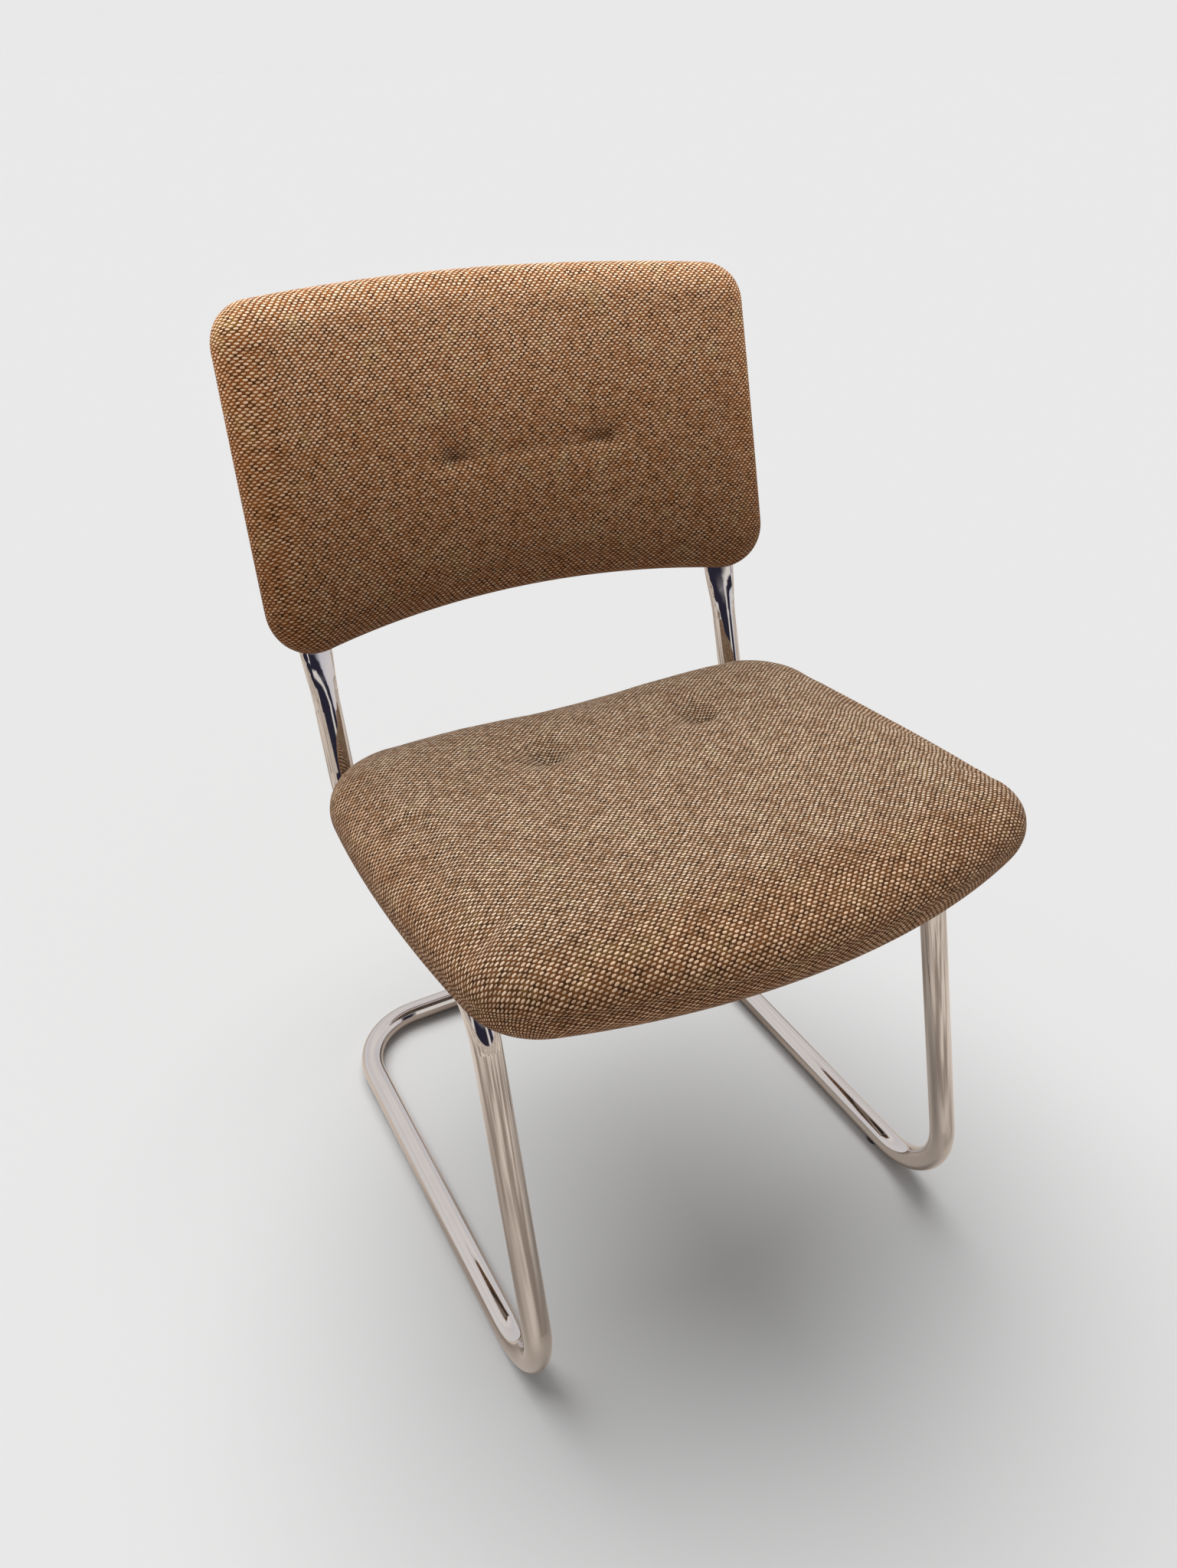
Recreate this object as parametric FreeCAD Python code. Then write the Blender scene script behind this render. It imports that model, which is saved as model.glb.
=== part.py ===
import FreeCAD, Part
import math
import os

from FreeCAD import Placement, Rotation, Vector

# Cantilever side chair: one bent and chromed steel tube carries an upholstered seat and a curved
# upholstered back. Millimetres, Z up. The chair faces -Y, and its floor is Z = 0.
# Each pad is made in a frame of its own: X to the chair's left and right, Y to the rear and Z up
# for the seat, and X across, Y to the rear and Z along the back's height for the back.

# Frame tube
tube_od = 22.2
tube_wall = 2.0
runner_half_spacing = 206.0
rail_front_half_spacing = 205.0
upright_half_spacing = 203.0
floor_depth = 469.0
leg_lean = 16.35
upright_lean = 18.14
floor_front_bend = 62.0
floor_rear_bend = 68.0
seat_front_bend = 50.0
seat_rear_bend = 60.0

# Flattened upper ends of the tube, which are screwed to the back's board
flat_thickness = 9.0
swage_length = 58.0
knee_above_hem = 8.0
flat_length = 104.0
board_contact_gap = 0.05

# Floor glides
glide_diameter = 16.0
glide_projection = 1.5
glide_saddle_height = 3.2
glide_stem_diameter = 6.0
glide_stem_length = 7.0
glide_saddle_gap = 0.1
front_glide_position = 96.0
rear_glide_position = 384.0

# Seat pad, measured at its widest level
seat_centre_depth = 199.8
seat_centre_height = 404.7
seat_tilt = 4.34
seat_half_width = 230.2
seat_length = 352.4
seat_front_bow = 47.3
seat_rear_bow = 4.8
seat_side_bow = 11.9
seat_front_corner = 58.0
seat_rear_corner = 72.0
seat_crown_height = 40.0
seat_crown_inset = 115.0
seat_crown_roundness = 1.63
seat_crown_front_corner = 48.0
seat_crown_rear_corner = 44.0
seat_base_depth = 34.3
seat_base_inset = 36.0
seat_board_thickness = 12.0
seat_board_inset = 44.0
seat_hem_width = 20.0
dust_cover_inset = 50.0
dust_cover_thickness = 0.6

# Seat crossbars
crossbar_width = 30.0
crossbar_thickness = 5.0
front_crossbar_position = -38.0
rear_crossbar_position = 95.0
crossbar_end_gap = 5.0
weld_gap = 0.1

# Seat staples
staple_count = 30
staple_crown = 10.0
staple_wire = 0.9
staple_leg = 7.0
staple_inset = 56.0
staple_hole_gap = 0.05

# Back pad, measured along its curved middle surface
back_centre_depth = 479.9
back_centre_height = 609.0
back_lean = 15.8
back_bend_radius = 744.0
back_half_width = 243.4
back_taper = 5.7
back_height = 277.7
back_top_bow = 17.7
back_bottom_arch = 25.3
back_top_corner = 36.4
back_bottom_corner = 39.6
back_front_depth = 27.5
back_front_crown = 5.0
back_rear_depth = 20.5
back_rear_crown = 3.0
back_edge_roll = 28.0
back_board_thickness = 12.0
back_board_inset = 24.0
back_board_corner = 26.0
back_board_side_bow = 1.0
back_seam_depth = 10.5

# Upholstery
cover_thickness = 1.5
foam_gap = 0.3
seam_gap = 0.3

# Pulled tufts
tuft_radius = 38.0
tuft_depth = 11.0
tuft_rim_rise = 0.8
tuft_floor_radius = 2.6
tuft_shoulder_radius = 15.0
tuft_shoulder_depth = 3.9
tuft_groove_radius = 45.0
tuft_groove_depth = 3.0
seat_tuft_spacing = 144.0
seat_tuft_position = 48.0
back_tuft_spacing = 146.0
back_tuft_offset = 13.0
back_tuft_height = 6.0
tie_diameter = 1.8
tie_head_diameter = 4.0
tie_head_thickness = 0.8
tie_knot_thickness = 0.4
tie_hole_gap = 0.3
anchor_diameter = 14.0
anchor_thickness = 1.0

# Bolts, screws and nuts with a plate and prongs
screw_diameter = 6.0
screw_hole_gap = 0.25
seat_bolt_spacing = 240.0
bolt_head_flats = 10.0
bolt_head_height = 4.0
washer_diameter = 13.0
washer_thickness = 1.6
nut_barrel_diameter = 7.8
nut_barrel_length = 9.0
nut_plate_diameter = 18.0
nut_plate_thickness = 1.2
nut_seat_gap = 0.1
nut_bore_gap = 0.1
back_screw_low = 36.0
back_screw_spacing = 56.0
pan_head_diameter = 12.0
pan_head_height = 3.6
head_pocket_gap = 0.3

# Worked out from the sizes above
tube_radius = tube_od / 2
tube_bore_radius = tube_radius - tube_wall
tube_axis_height = glide_projection + tube_radius
seat_place = Placement(
    Vector(0, seat_centre_depth, seat_centre_height), Rotation(Vector(1, 0, 0), -seat_tilt)
)
back_place = Placement(
    Vector(0, back_centre_depth, back_centre_height), Rotation(Vector(1, 0, 0), -back_lean)
)
seat_underside = -seat_base_depth - dust_cover_thickness
seat_board_bottom = -seat_base_depth + cover_thickness
seat_board_top = seat_board_bottom + seat_board_thickness
rail_level = seat_underside - tube_radius
crossbar_top = seat_underside - board_contact_gap
crossbar_bottom = crossbar_top - crossbar_thickness
back_surface = back_front_depth + back_front_crown
board_front = back_board_thickness / 2
upright_level = -(board_front + board_contact_gap + flat_thickness / 2)
up = Vector(0, 0, 1)

# How finely the lofts and outlines are drawn
loft_degree = 3
seat_loft_angles = (-90, -62, -32, 0, 16, 32, 46, 60, 75, 90)
back_roll_angles = (12, 30, 48, 68, 90)
back_middle_shares = (0.88, 0.66, 0.44, 0.22)
swage_steps = 6
hexagon_sides = 6
straight_limit = 1e-6
edge_match = 0.01


def meeting_point(centre_a, radius_a, centre_b, radius_b, near):
    """The crossing of two circles that lies nearest to a given point."""
    span = centre_b - centre_a
    distance = span.Length
    along = (distance ** 2 + radius_a ** 2 - radius_b ** 2) / (2 * distance)
    across = math.sqrt(max(radius_a ** 2 - along ** 2, 0.0))
    direction = Vector(span).normalize()
    normal = Vector(-direction.y, direction.x, 0)
    base = centre_a + direction * along
    crossings = [base + normal * across, base - normal * across]
    return min(crossings, key=lambda point: (point - near).Length)


def bowed_outline(corners, bows, radii, inset, level):
    """Closed level wire of four bowed edges and four rounded corners.

    The corners run anticlockwise from above. Each edge starts at its corner, and a positive bow
    bulges outwards. The inset moves every edge inwards.
    """
    edges = []
    count = len(corners)
    for i in range(count):
        start = corners[i]
        end = corners[(i + 1) % count]
        outward = (end - start).cross(up).normalize()
        side = 1 if bows[i] > 0 else -1
        half_chord = (end - start).Length / 2
        radius = (half_chord ** 2 + bows[i] ** 2) / (2 * abs(bows[i]))
        centre = (start + end) * 0.5 + outward * (bows[i] - side * radius)
        edges.append((centre, radius - side * inset, side))
    blends = []
    for i in range(count):
        centre_a, radius_a, side_a = edges[i - 1]
        centre_b, radius_b, side_b = edges[i]
        blend = meeting_point(
            centre_a, radius_a - side_a * radii[i], centre_b, radius_b - side_b * radii[i], corners[i]
        )
        first = centre_a + (blend - centre_a).normalize() * radius_a
        last = centre_b + (blend - centre_b).normalize() * radius_b
        tip = blend + ((first - blend) + (last - blend)).normalize() * radii[i]
        blends.append((first, tip, last))
    lift = Vector(0, 0, level)
    wire = []
    for i in range(count):
        first, tip, last = blends[i]
        wire.append(Part.Arc(first + lift, tip + lift, last + lift).toShape())
        onward = blends[(i + 1) % count][0]
        centre, radius, side = edges[i]
        middle = centre + ((last - centre) + (onward - centre)).normalize() * radius
        wire.append(Part.Arc(last + lift, middle + lift, onward + lift).toShape())
    return Part.Wire(wire)


def prism(wire, height):
    return Part.Face(wire).extrude(Vector(0, 0, height))


def smooth_loft(sections):
    """Closed solid through the sections, on surfaces of low degree, which stay free of ripples."""
    return Part.makeLoft(sections, True, False, False, loft_degree)


def cylinder(diameter, height, foot, direction=up):
    return Part.makeCylinder(diameter / 2, height, foot, direction)


def ring(outer_diameter, inner_diameter, height, foot, direction=up):
    outer = cylinder(outer_diameter, height, foot, direction)
    return outer.cut(cylinder(inner_diameter, height, foot, direction))


# Seat pad


def seat_corners():
    half_length = seat_length / 2
    return [
        Vector(-seat_half_width, -half_length, 0),
        Vector(seat_half_width, -half_length, 0),
        Vector(seat_half_width, half_length, 0),
        Vector(-seat_half_width, half_length, 0),
    ]


def seat_ring(inset, level, front_corner, rear_corner):
    bows = [seat_front_bow, seat_side_bow, seat_rear_bow, seat_side_bow]
    radii = [front_corner, front_corner, rear_corner, rear_corner]
    return bowed_outline(seat_corners(), bows, radii, inset, level)


def seat_level_ring(inset, level):
    """Outline of a flat piece under the pad, at a steady distance inside the pad's outline."""
    return seat_ring(inset, level, seat_front_corner - inset / 2, seat_rear_corner - inset / 2)


def seat_profile(angle):
    """Inset, level and inward normal of the pad's edge, from -90 underneath to 90 on top."""
    turn = math.radians(angle)
    rise = 1 - math.cos(turn)
    if angle <= 0:
        inset = seat_base_inset * rise
        level = seat_base_depth * math.sin(turn)
        slope = seat_base_inset * math.sin(turn)
        climb = seat_base_depth * math.cos(turn)
    else:
        inset = seat_crown_inset * rise ** seat_crown_roundness
        level = seat_crown_height * math.sin(turn)
        growth = seat_crown_roundness * rise ** (seat_crown_roundness - 1)
        slope = seat_crown_inset * growth * math.sin(turn)
        climb = seat_crown_height * math.cos(turn)
    length = math.hypot(slope, climb)
    return inset, level, climb / length, -slope / length


def seat_loft(shrink):
    """The pad's outer form, or a form that lies inside it by the shrink."""
    rings = []
    for angle in seat_loft_angles:
        inset, level, inward, upward = seat_profile(angle)
        share = max(inset, 0) / seat_crown_inset if angle > 0 else 0
        front = max(seat_front_corner - inset, 0) * (1 - share) + seat_crown_front_corner * share
        rear = max(seat_rear_corner - inset, 0) * (1 - share) + seat_crown_rear_corner * share
        offset = inset + inward * shrink
        height = level + upward * shrink
        corner_front = front - inward * shrink
        corner_rear = rear - inward * shrink
        rings.append(seat_ring(offset, height, corner_front, corner_rear))
    return smooth_loft(rings)


def tuft_tool(sink):
    """Solid that presses one tuft into a pad whose surface is at level 0."""
    floor_level = -tuft_depth - sink
    shoulder = Vector(tuft_shoulder_radius, 0, -tuft_shoulder_depth - sink)
    rim = Vector(tuft_radius, 0, tuft_rim_rise - sink)
    top = tuft_depth + tuft_radius
    floor_edge = Vector(tuft_floor_radius, 0, floor_level)
    edges = [
        Part.LineSegment(Vector(0, 0, floor_level), floor_edge).toShape(),
        Part.Arc(floor_edge, shoulder, rim).toShape(),
        Part.LineSegment(rim, Vector(tuft_radius, 0, top)).toShape(),
        Part.LineSegment(Vector(tuft_radius, 0, top), Vector(0, 0, top)).toShape(),
        Part.LineSegment(Vector(0, 0, top), Vector(0, 0, floor_level)).toShape(),
    ]
    return Part.Face(Part.Wire(edges)).revolve(Vector(0, 0, 0), up, 360)


def groove_tool(spacing, sink):
    """Shallow fold that runs between two tufts."""
    axis_level = tuft_groove_radius - tuft_groove_depth - sink
    foot = Vector(-spacing / 2, 0, axis_level)
    return Part.makeCylinder(tuft_groove_radius, spacing, foot, Vector(1, 0, 0))


def tuft_tie(length):
    """Twine with its stitch head on the cover, at level 0, and its knot behind the anchor."""
    body = cylinder(tie_diameter, length + tie_head_thickness, Vector(0, 0, -length))
    head = cylinder(tie_head_diameter, tie_head_thickness, Vector(0, 0, 0))
    knot = cylinder(tie_head_diameter, tie_knot_thickness, Vector(0, 0, -length))
    return body.fuse([head, knot]).removeSplitter()


def tuft_anchor():
    hole = tie_diameter + 2 * tie_hole_gap
    return ring(anchor_diameter, hole, anchor_thickness, Vector(0, 0, -anchor_thickness))


def seat_tuft_places():
    xs = (-seat_tuft_spacing / 2, seat_tuft_spacing / 2)
    return [Placement(Vector(x, seat_tuft_position, 0), Rotation()) for x in xs]


def press_seat_tufts(pad, sink):
    for place in seat_tuft_places():
        tool = tuft_tool(sink)
        tool.Placement = Placement(Vector(0, 0, seat_crown_height), Rotation()).multiply(place)
        pad = pad.cut(tool)
    fold = groove_tool(seat_tuft_spacing, sink)
    fold.translate(Vector(0, seat_tuft_position, seat_crown_height))
    return pad.cut(fold)


def seat_bolt_points():
    points = []
    for depth in (front_crossbar_position, rear_crossbar_position):
        for x in (-seat_bolt_spacing / 2, seat_bolt_spacing / 2):
            points.append(Vector(x, depth, 0))
    return points


def at_level(point, level):
    return Vector(point.x, point.y, level)


def staple_frames():
    """Middle point and direction of each staple along the hem, where no crossbar covers it."""
    path = seat_level_ring(staple_inset, 0)
    points = path.discretize(Number=2 * staple_count + 1)
    room = (crossbar_width + staple_crown) / 2 + staple_wire
    frames = []
    for i in range(staple_count):
        before, middle, after = points[2 * i], points[2 * i + 1], points[2 * i + 2]
        distances = [abs(middle.y - y) for y in (front_crossbar_position, rear_crossbar_position)]
        if min(distances) > room:
            frames.append((middle, (after - before).normalize()))
    return frames


def staple_solid(middle, direction, gap):
    """One wire staple driven up from the dust cover, grown by the gap on every side."""
    half = staple_crown / 2
    width = staple_wire + 2 * gap
    crown_level = seat_underside - staple_wire
    crown = Part.makeBox(staple_crown + 2 * gap, width, width, Vector(-half - gap, -width / 2, -gap))
    parts = []
    for side in (-1, 1):
        foot = Vector(side * (half - staple_wire / 2) - width / 2, -width / 2, -gap)
        parts.append(Part.makeBox(width, width, staple_leg + staple_wire + 2 * gap, foot))
    staple = crown.fuse(parts).removeSplitter()
    angle = math.degrees(math.atan2(direction.y, direction.x))
    staple.Placement = Placement(at_level(middle, crown_level), Rotation(up, angle))
    return staple


def staples(gap):
    return [staple_solid(middle, direction, gap) for middle, direction in staple_frames()]


def make_seat():
    """Every piece of the seat, in the seat's own frame."""
    skin_gap = cover_thickness + foam_gap
    staple_holes = Part.makeCompound(staples(staple_hole_gap))
    tie_hole = tie_diameter + 2 * tie_hole_gap
    bolt_hole = screw_diameter + 2 * screw_hole_gap
    tie_length = seat_crown_height - tuft_depth - seat_board_bottom + anchor_thickness
    tie_length = tie_length + tie_knot_thickness
    ties = []
    anchors = []
    tie_holes = []
    for place in seat_tuft_places():
        head = at_level(place.Base, seat_crown_height - tuft_depth)
        tie = tuft_tie(tie_length)
        tie.translate(head)
        ties.append(tie)
        anchor = tuft_anchor()
        anchor.translate(at_level(place.Base, seat_board_bottom))
        anchors.append(anchor)
        hole_foot = at_level(place.Base, seat_board_bottom)
        tie_holes.append(cylinder(tie_hole, 2 * seat_crown_height, hole_foot))

    outside = press_seat_tufts(seat_loft(0), 0)
    inside = press_seat_tufts(seat_loft(cover_thickness), cover_thickness)
    cover = outside.cut(inside)
    hem_opening = prism(
        seat_level_ring(seat_board_inset + seat_hem_width, -seat_base_depth), cover_thickness
    )
    cover = cover.cut(hem_opening).cut(tie_holes).cut(staple_holes)

    board_height = seat_board_thickness
    board = prism(seat_level_ring(seat_board_inset, seat_board_bottom), board_height)
    foam = press_seat_tufts(seat_loft(skin_gap), skin_gap)
    pocket_level = seat_board_bottom - 2 * skin_gap
    pocket = prism(
        seat_level_ring(seat_board_inset - foam_gap, pocket_level), seat_board_top - pocket_level
    )
    foam = foam.cut(pocket).cut(tie_holes)
    board = board.cut(tie_holes).cut(staple_holes)

    nuts = []
    bolts = []
    washers = []
    for point in seat_bolt_points():
        nut_top = at_level(point, seat_board_top - nut_plate_thickness)
        nut_foot = at_level(point, seat_board_top - nut_plate_thickness - nut_barrel_length)
        bore = screw_diameter + 2 * nut_bore_gap
        barrel = ring(nut_barrel_diameter, bore, nut_barrel_length, nut_foot)
        plate = ring(nut_plate_diameter, bore, nut_plate_thickness, nut_top)
        nuts.append(barrel.fuse(plate).removeSplitter())
        board = board.cut(
            [
                cylinder(bolt_hole, board_height, at_level(point, seat_board_bottom)),
                cylinder(
                    nut_barrel_diameter + 2 * nut_seat_gap,
                    nut_barrel_length + nut_plate_thickness,
                    nut_foot,
                ),
                cylinder(nut_plate_diameter + 2 * nut_seat_gap, nut_plate_thickness, nut_top),
            ]
        )
        washer_foot = at_level(point, crossbar_bottom - washer_thickness)
        washers.append(ring(washer_diameter, bolt_hole, washer_thickness, washer_foot))
        shank_length = seat_board_top - nut_plate_thickness - washer_foot.z
        shank = cylinder(screw_diameter, shank_length, washer_foot)
        bolts.append(hex_head(washer_foot).fuse(shank).removeSplitter())

    dust_cover = prism(seat_level_ring(dust_cover_inset, seat_underside), dust_cover_thickness)
    dust_holes = [
        cylinder(bolt_hole, dust_cover_thickness, at_level(point, seat_underside))
        for point in seat_bolt_points()
    ]
    dust_cover = dust_cover.cut(dust_holes).cut(staple_holes)
    return {
        "seat_cover": cover,
        "seat_foam": foam,
        "seat_board": board,
        "seat_dust_cover": dust_cover,
        "seat_staples": Part.makeCompound(staples(0)),
        "seat_tuft_ties": Part.makeCompound(ties),
        "seat_tuft_anchors": Part.makeCompound(anchors),
        "seat_t_nuts": Part.makeCompound(nuts),
        "seat_bolts": Part.makeCompound(bolts),
        "seat_bolt_washers": Part.makeCompound(washers),
    }


def hex_head(top_point):
    """Hexagon bolt head hanging under a point."""
    radius = bolt_head_flats / math.sqrt(3)
    points = []
    for i in range(hexagon_sides + 1):
        angle = 2 * math.pi / hexagon_sides * i
        corner = Vector(radius * math.cos(angle), radius * math.sin(angle), -bolt_head_height)
        points.append(top_point + corner)
    return prism(Part.makePolygon(points), bolt_head_height)


# Back pad


def back_point(turn, level, height, lean=0.0):
    """Point of the back at a turn about its bend axis and a level in front of its middle.

    The lean is the sideways shift for each millimetre of height, along the bent surface.
    """
    radius = back_bend_radius - level
    x = radius * math.sin(turn) + lean * height * math.cos(turn)
    y = radius * math.cos(turn) - back_bend_radius - lean * height * math.sin(turn)
    return Vector(x, y, height)


def corner_drop(distance, radius):
    """How far a rounded corner of the outline falls away, at a distance from the side edge."""
    if distance >= radius:
        return 0.0
    return radius - math.sqrt(radius ** 2 - (radius - distance) ** 2)


def back_edge_heights(across, shrink=0.0):
    """Lowest and highest point of the back's outline at a place across it."""
    half_width = back_half_width - shrink
    half_height = back_height / 2 - shrink
    fullness = 1 - (across / half_width) ** 2
    distance = half_width - abs(across)
    top = half_height + back_top_bow * fullness
    top = top - corner_drop(distance, back_top_corner - shrink)
    bottom = -half_height + back_bottom_arch * fullness
    bottom = bottom + corner_drop(distance, back_bottom_corner - shrink)
    return bottom, top


def back_section(across, shrink):
    """Closed section of the back pad in a plane through the bend axis."""
    half_width = back_half_width - shrink
    roll = back_edge_roll - shrink
    distance = half_width - abs(across)
    inside_roll = max(1 - distance / roll, 0.0)
    fullness = math.sqrt(1 - inside_roll ** 2)
    spread = 1 - (across / half_width) ** 2
    front = (back_front_depth - shrink) * fullness
    rear = (back_rear_depth - shrink) * fullness
    front_middle = front + back_front_crown * spread
    rear_middle = rear + back_rear_crown * spread
    bottom, top = back_edge_heights(across, shrink)
    end_roll = roll * fullness
    turn = across / back_bend_radius
    lean = -back_taper / 2 / back_height * across / back_half_width
    corner = math.sqrt(0.5)

    def place(level, height):
        return back_point(turn, level, height, lean)

    def quarter(tip, end, level):
        inward = end - tip
        middle = place(level * corner, tip + inward * (1 - corner))
        return place(0, tip), middle, place(level, end)

    def arc(points):
        return Part.Arc(*points).toShape()

    high = top - end_roll
    low = bottom + end_roll
    centre = (high + low) / 2
    top_front = quarter(top, high, front)
    bottom_front = quarter(bottom, low, front)
    top_rear = quarter(top, high, -rear)
    bottom_rear = quarter(bottom, low, -rear)
    edges = [
        arc(bottom_front),
        arc((bottom_front[2], place(front_middle, centre), top_front[2])),
        arc(tuple(reversed(top_front))),
        arc(top_rear),
        arc((top_rear[2], place(-rear_middle, centre), bottom_rear[2])),
        arc(tuple(reversed(bottom_rear))),
    ]
    return Part.Wire(edges)


def back_loft(shrink):
    """The back pad's outer form, or a form that lies inside it by the shrink."""
    half_width = back_half_width - shrink
    roll = back_edge_roll - shrink
    places = []
    for angle in back_roll_angles:
        places.append(half_width - roll * (1 - math.cos(math.radians(angle))))
    straight = places[-1]
    for share in back_middle_shares:
        places.append(straight * share)
    everywhere = [-across for across in places] + [0.0] + list(reversed(places))
    sections = [back_section(across, shrink) for across in everywhere]
    return smooth_loft(sections)


def bend_cylinder(radius):
    """Upright cylinder about the bend axis of the back, taller than the pad."""
    foot = Vector(0, -back_bend_radius, -back_height)
    return Part.makeCylinder(radius, 2 * back_height, foot)


def back_normal_place(across, level, height):
    """Frame whose Z axis points out of the front of the back at a place on it."""
    turn = across / back_bend_radius
    outward = Vector(-math.sin(turn), -math.cos(turn), 0)
    sideways = Vector(math.cos(turn), -math.sin(turn), 0)
    rotation = Rotation(sideways, up, outward, "ZXY")
    return Placement(back_point(turn, level, height), rotation)


def back_tuft_places(level):
    shifts = (-back_tuft_spacing / 2, back_tuft_spacing / 2)
    return [back_normal_place(back_tuft_offset + x, level, back_tuft_height) for x in shifts]


def press_back_tufts(pad, sink):
    for place in back_tuft_places(back_surface):
        tool = tuft_tool(sink)
        tool.Placement = place
        pad = pad.cut(tool)
    fold = groove_tool(back_tuft_spacing, sink)
    fold.Placement = back_normal_place(back_tuft_offset, back_surface, back_tuft_height)
    return pad.cut(fold)


def back_board_blank(inset, front, rear):
    """Curved board between two levels, cut to the back's outline."""
    reach = back_bend_radius * math.sin(back_half_width / back_bend_radius)
    half_height = back_height / 2
    half_taper = back_taper / 2
    corners = [
        Vector(-reach - half_taper, -half_height, 0),
        Vector(reach + half_taper, -half_height, 0),
        Vector(reach - half_taper, half_height, 0),
        Vector(-reach + half_taper, half_height, 0),
    ]
    bows = [-back_bottom_arch, back_board_side_bow, back_top_bow, back_board_side_bow]
    radii = [back_board_corner] * 4
    outline = bowed_outline(corners, bows, radii, inset, -back_height)
    blank = prism(outline, 2 * back_height)
    blank.rotate(Vector(0, 0, 0), Vector(1, 0, 0), 90)
    shell = bend_cylinder(back_bend_radius - rear).cut(bend_cylinder(back_bend_radius - front))
    return shell.common(blank)


def upright_place():
    """Turn about the bend axis at which the right upright meets the board."""
    return math.asin(upright_half_spacing / (back_bend_radius - upright_level))


def knee_height():
    bottom, _ = back_edge_heights(upright_place() * back_bend_radius)
    return bottom + knee_above_hem


def screw_heights():
    low = knee_height() + back_screw_low
    return (low, low + back_screw_spacing)


def make_back(upright_slots):
    """Every piece of the back, in the back's own frame, with room for the tube's flattened ends."""
    skin_gap = cover_thickness + foam_gap
    tie_hole = tie_diameter + 2 * tie_hole_gap
    tie_level = back_surface - tuft_depth
    tie_length = tie_level + board_front + anchor_thickness + tie_knot_thickness
    tie_length = tie_length + board_contact_gap
    ties = []
    anchors = []
    tie_holes = []
    anchor_pockets = []
    for place in back_tuft_places(tie_level):
        tie = tuft_tie(tie_length)
        tie.Placement = place
        ties.append(tie)
        hole = cylinder(tie_hole, tie_length + tuft_depth, Vector(0, 0, -tie_length))
        hole.Placement = place
        tie_holes.append(hole)
    for place in back_tuft_places(-board_front - board_contact_gap):
        anchor = tuft_anchor()
        anchor.Placement = place
        anchors.append(anchor)
        room = anchor_thickness + tie_knot_thickness + 2 * foam_gap
        pocket = cylinder(anchor_diameter + 2 * foam_gap, room, Vector(0, 0, -room))
        pocket.Placement = place
        anchor_pockets.append(pocket)

    outside = press_back_tufts(back_loft(0), 0)
    inside = press_back_tufts(back_loft(cover_thickness), cover_thickness)
    skin = outside.cut(inside).cut(upright_slots)
    seam_radius = back_bend_radius + back_seam_depth
    cover_front = skin.common(bend_cylinder(seam_radius - seam_gap / 2)).cut(tie_holes)
    cover_rear = skin.cut(bend_cylinder(seam_radius + seam_gap / 2))

    board = back_board_blank(back_board_inset, board_front, -board_front).cut(tie_holes)
    pad = press_back_tufts(back_loft(skin_gap), skin_gap)
    room_for_board = back_board_blank(
        back_board_inset - foam_gap, board_front + foam_gap, -board_front - foam_gap
    )
    pad = pad.cut(room_for_board)
    foam_front = pad.common(bend_cylinder(back_bend_radius)).cut(tie_holes)
    foam_rear = pad.cut(bend_cylinder(back_bend_radius)).cut(upright_slots).cut(anchor_pockets)

    nuts = []
    screws = []
    nut_holes = []
    head_pockets = []
    bore = screw_diameter + 2 * nut_bore_gap
    across = upright_place() * back_bend_radius
    head_level = upright_level - flat_thickness / 2
    for side in (-1, 1):
        for height in screw_heights():
            place = back_normal_place(side * across, 0, height)
            plate_foot = Vector(0, 0, board_front - nut_plate_thickness)
            barrel_foot = Vector(0, 0, board_front - nut_plate_thickness - nut_barrel_length)
            barrel = ring(nut_barrel_diameter, bore, nut_barrel_length, barrel_foot)
            plate = ring(nut_plate_diameter, bore, nut_plate_thickness, plate_foot)
            nut = barrel.fuse(plate).removeSplitter()
            nut.Placement = place
            nuts.append(nut)
            holes = cylinder(
                screw_diameter + 2 * screw_hole_gap, 2 * back_board_thickness, Vector(0, 0, head_level)
            ).fuse(
                [
                    cylinder(
                        nut_barrel_diameter + 2 * nut_seat_gap, 2 * nut_barrel_length, barrel_foot
                    ),
                    cylinder(
                        nut_plate_diameter + 2 * nut_seat_gap,
                        2 * nut_plate_thickness,
                        plate_foot - Vector(0, 0, nut_seat_gap),
                    ),
                ]
            )
            holes.Placement = place
            nut_holes.append(holes)
            head_foot = Vector(0, 0, head_level - pan_head_height)
            head = cylinder(pan_head_diameter, pan_head_height, head_foot)
            rim = [edge for edge in head.Edges if abs(edge.BoundBox.ZMax - head_foot.z) < edge_match]
            head = head.makeFillet(pan_head_height / 2, rim[:1])
            shank = cylinder(screw_diameter, board_front - head_foot.z - nut_plate_thickness, head_foot)
            screw = head.fuse(shank).removeSplitter()
            screw.Placement = place
            screws.append(screw)
            pocket_foot = head_foot - Vector(0, 0, head_pocket_gap)
            pocket_depth = pan_head_height + flat_thickness
            pocket = cylinder(pan_head_diameter + 2 * head_pocket_gap, pocket_depth, pocket_foot)
            pocket.Placement = place
            head_pockets.append(pocket)
    board = board.cut(nut_holes)
    foam_rear = foam_rear.cut(head_pockets)
    return {
        "back_cover_front": cover_front,
        "back_cover_rear": cover_rear,
        "back_front_foam": foam_front,
        "back_rear_foam": foam_rear,
        "back_board": board,
        "back_tuft_ties": Part.makeCompound(ties),
        "back_tuft_anchors": Part.makeCompound(anchors),
        "back_t_nuts": Part.makeCompound(nuts),
        "back_screws": Part.makeCompound(screws),
    }


# Frame


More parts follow.
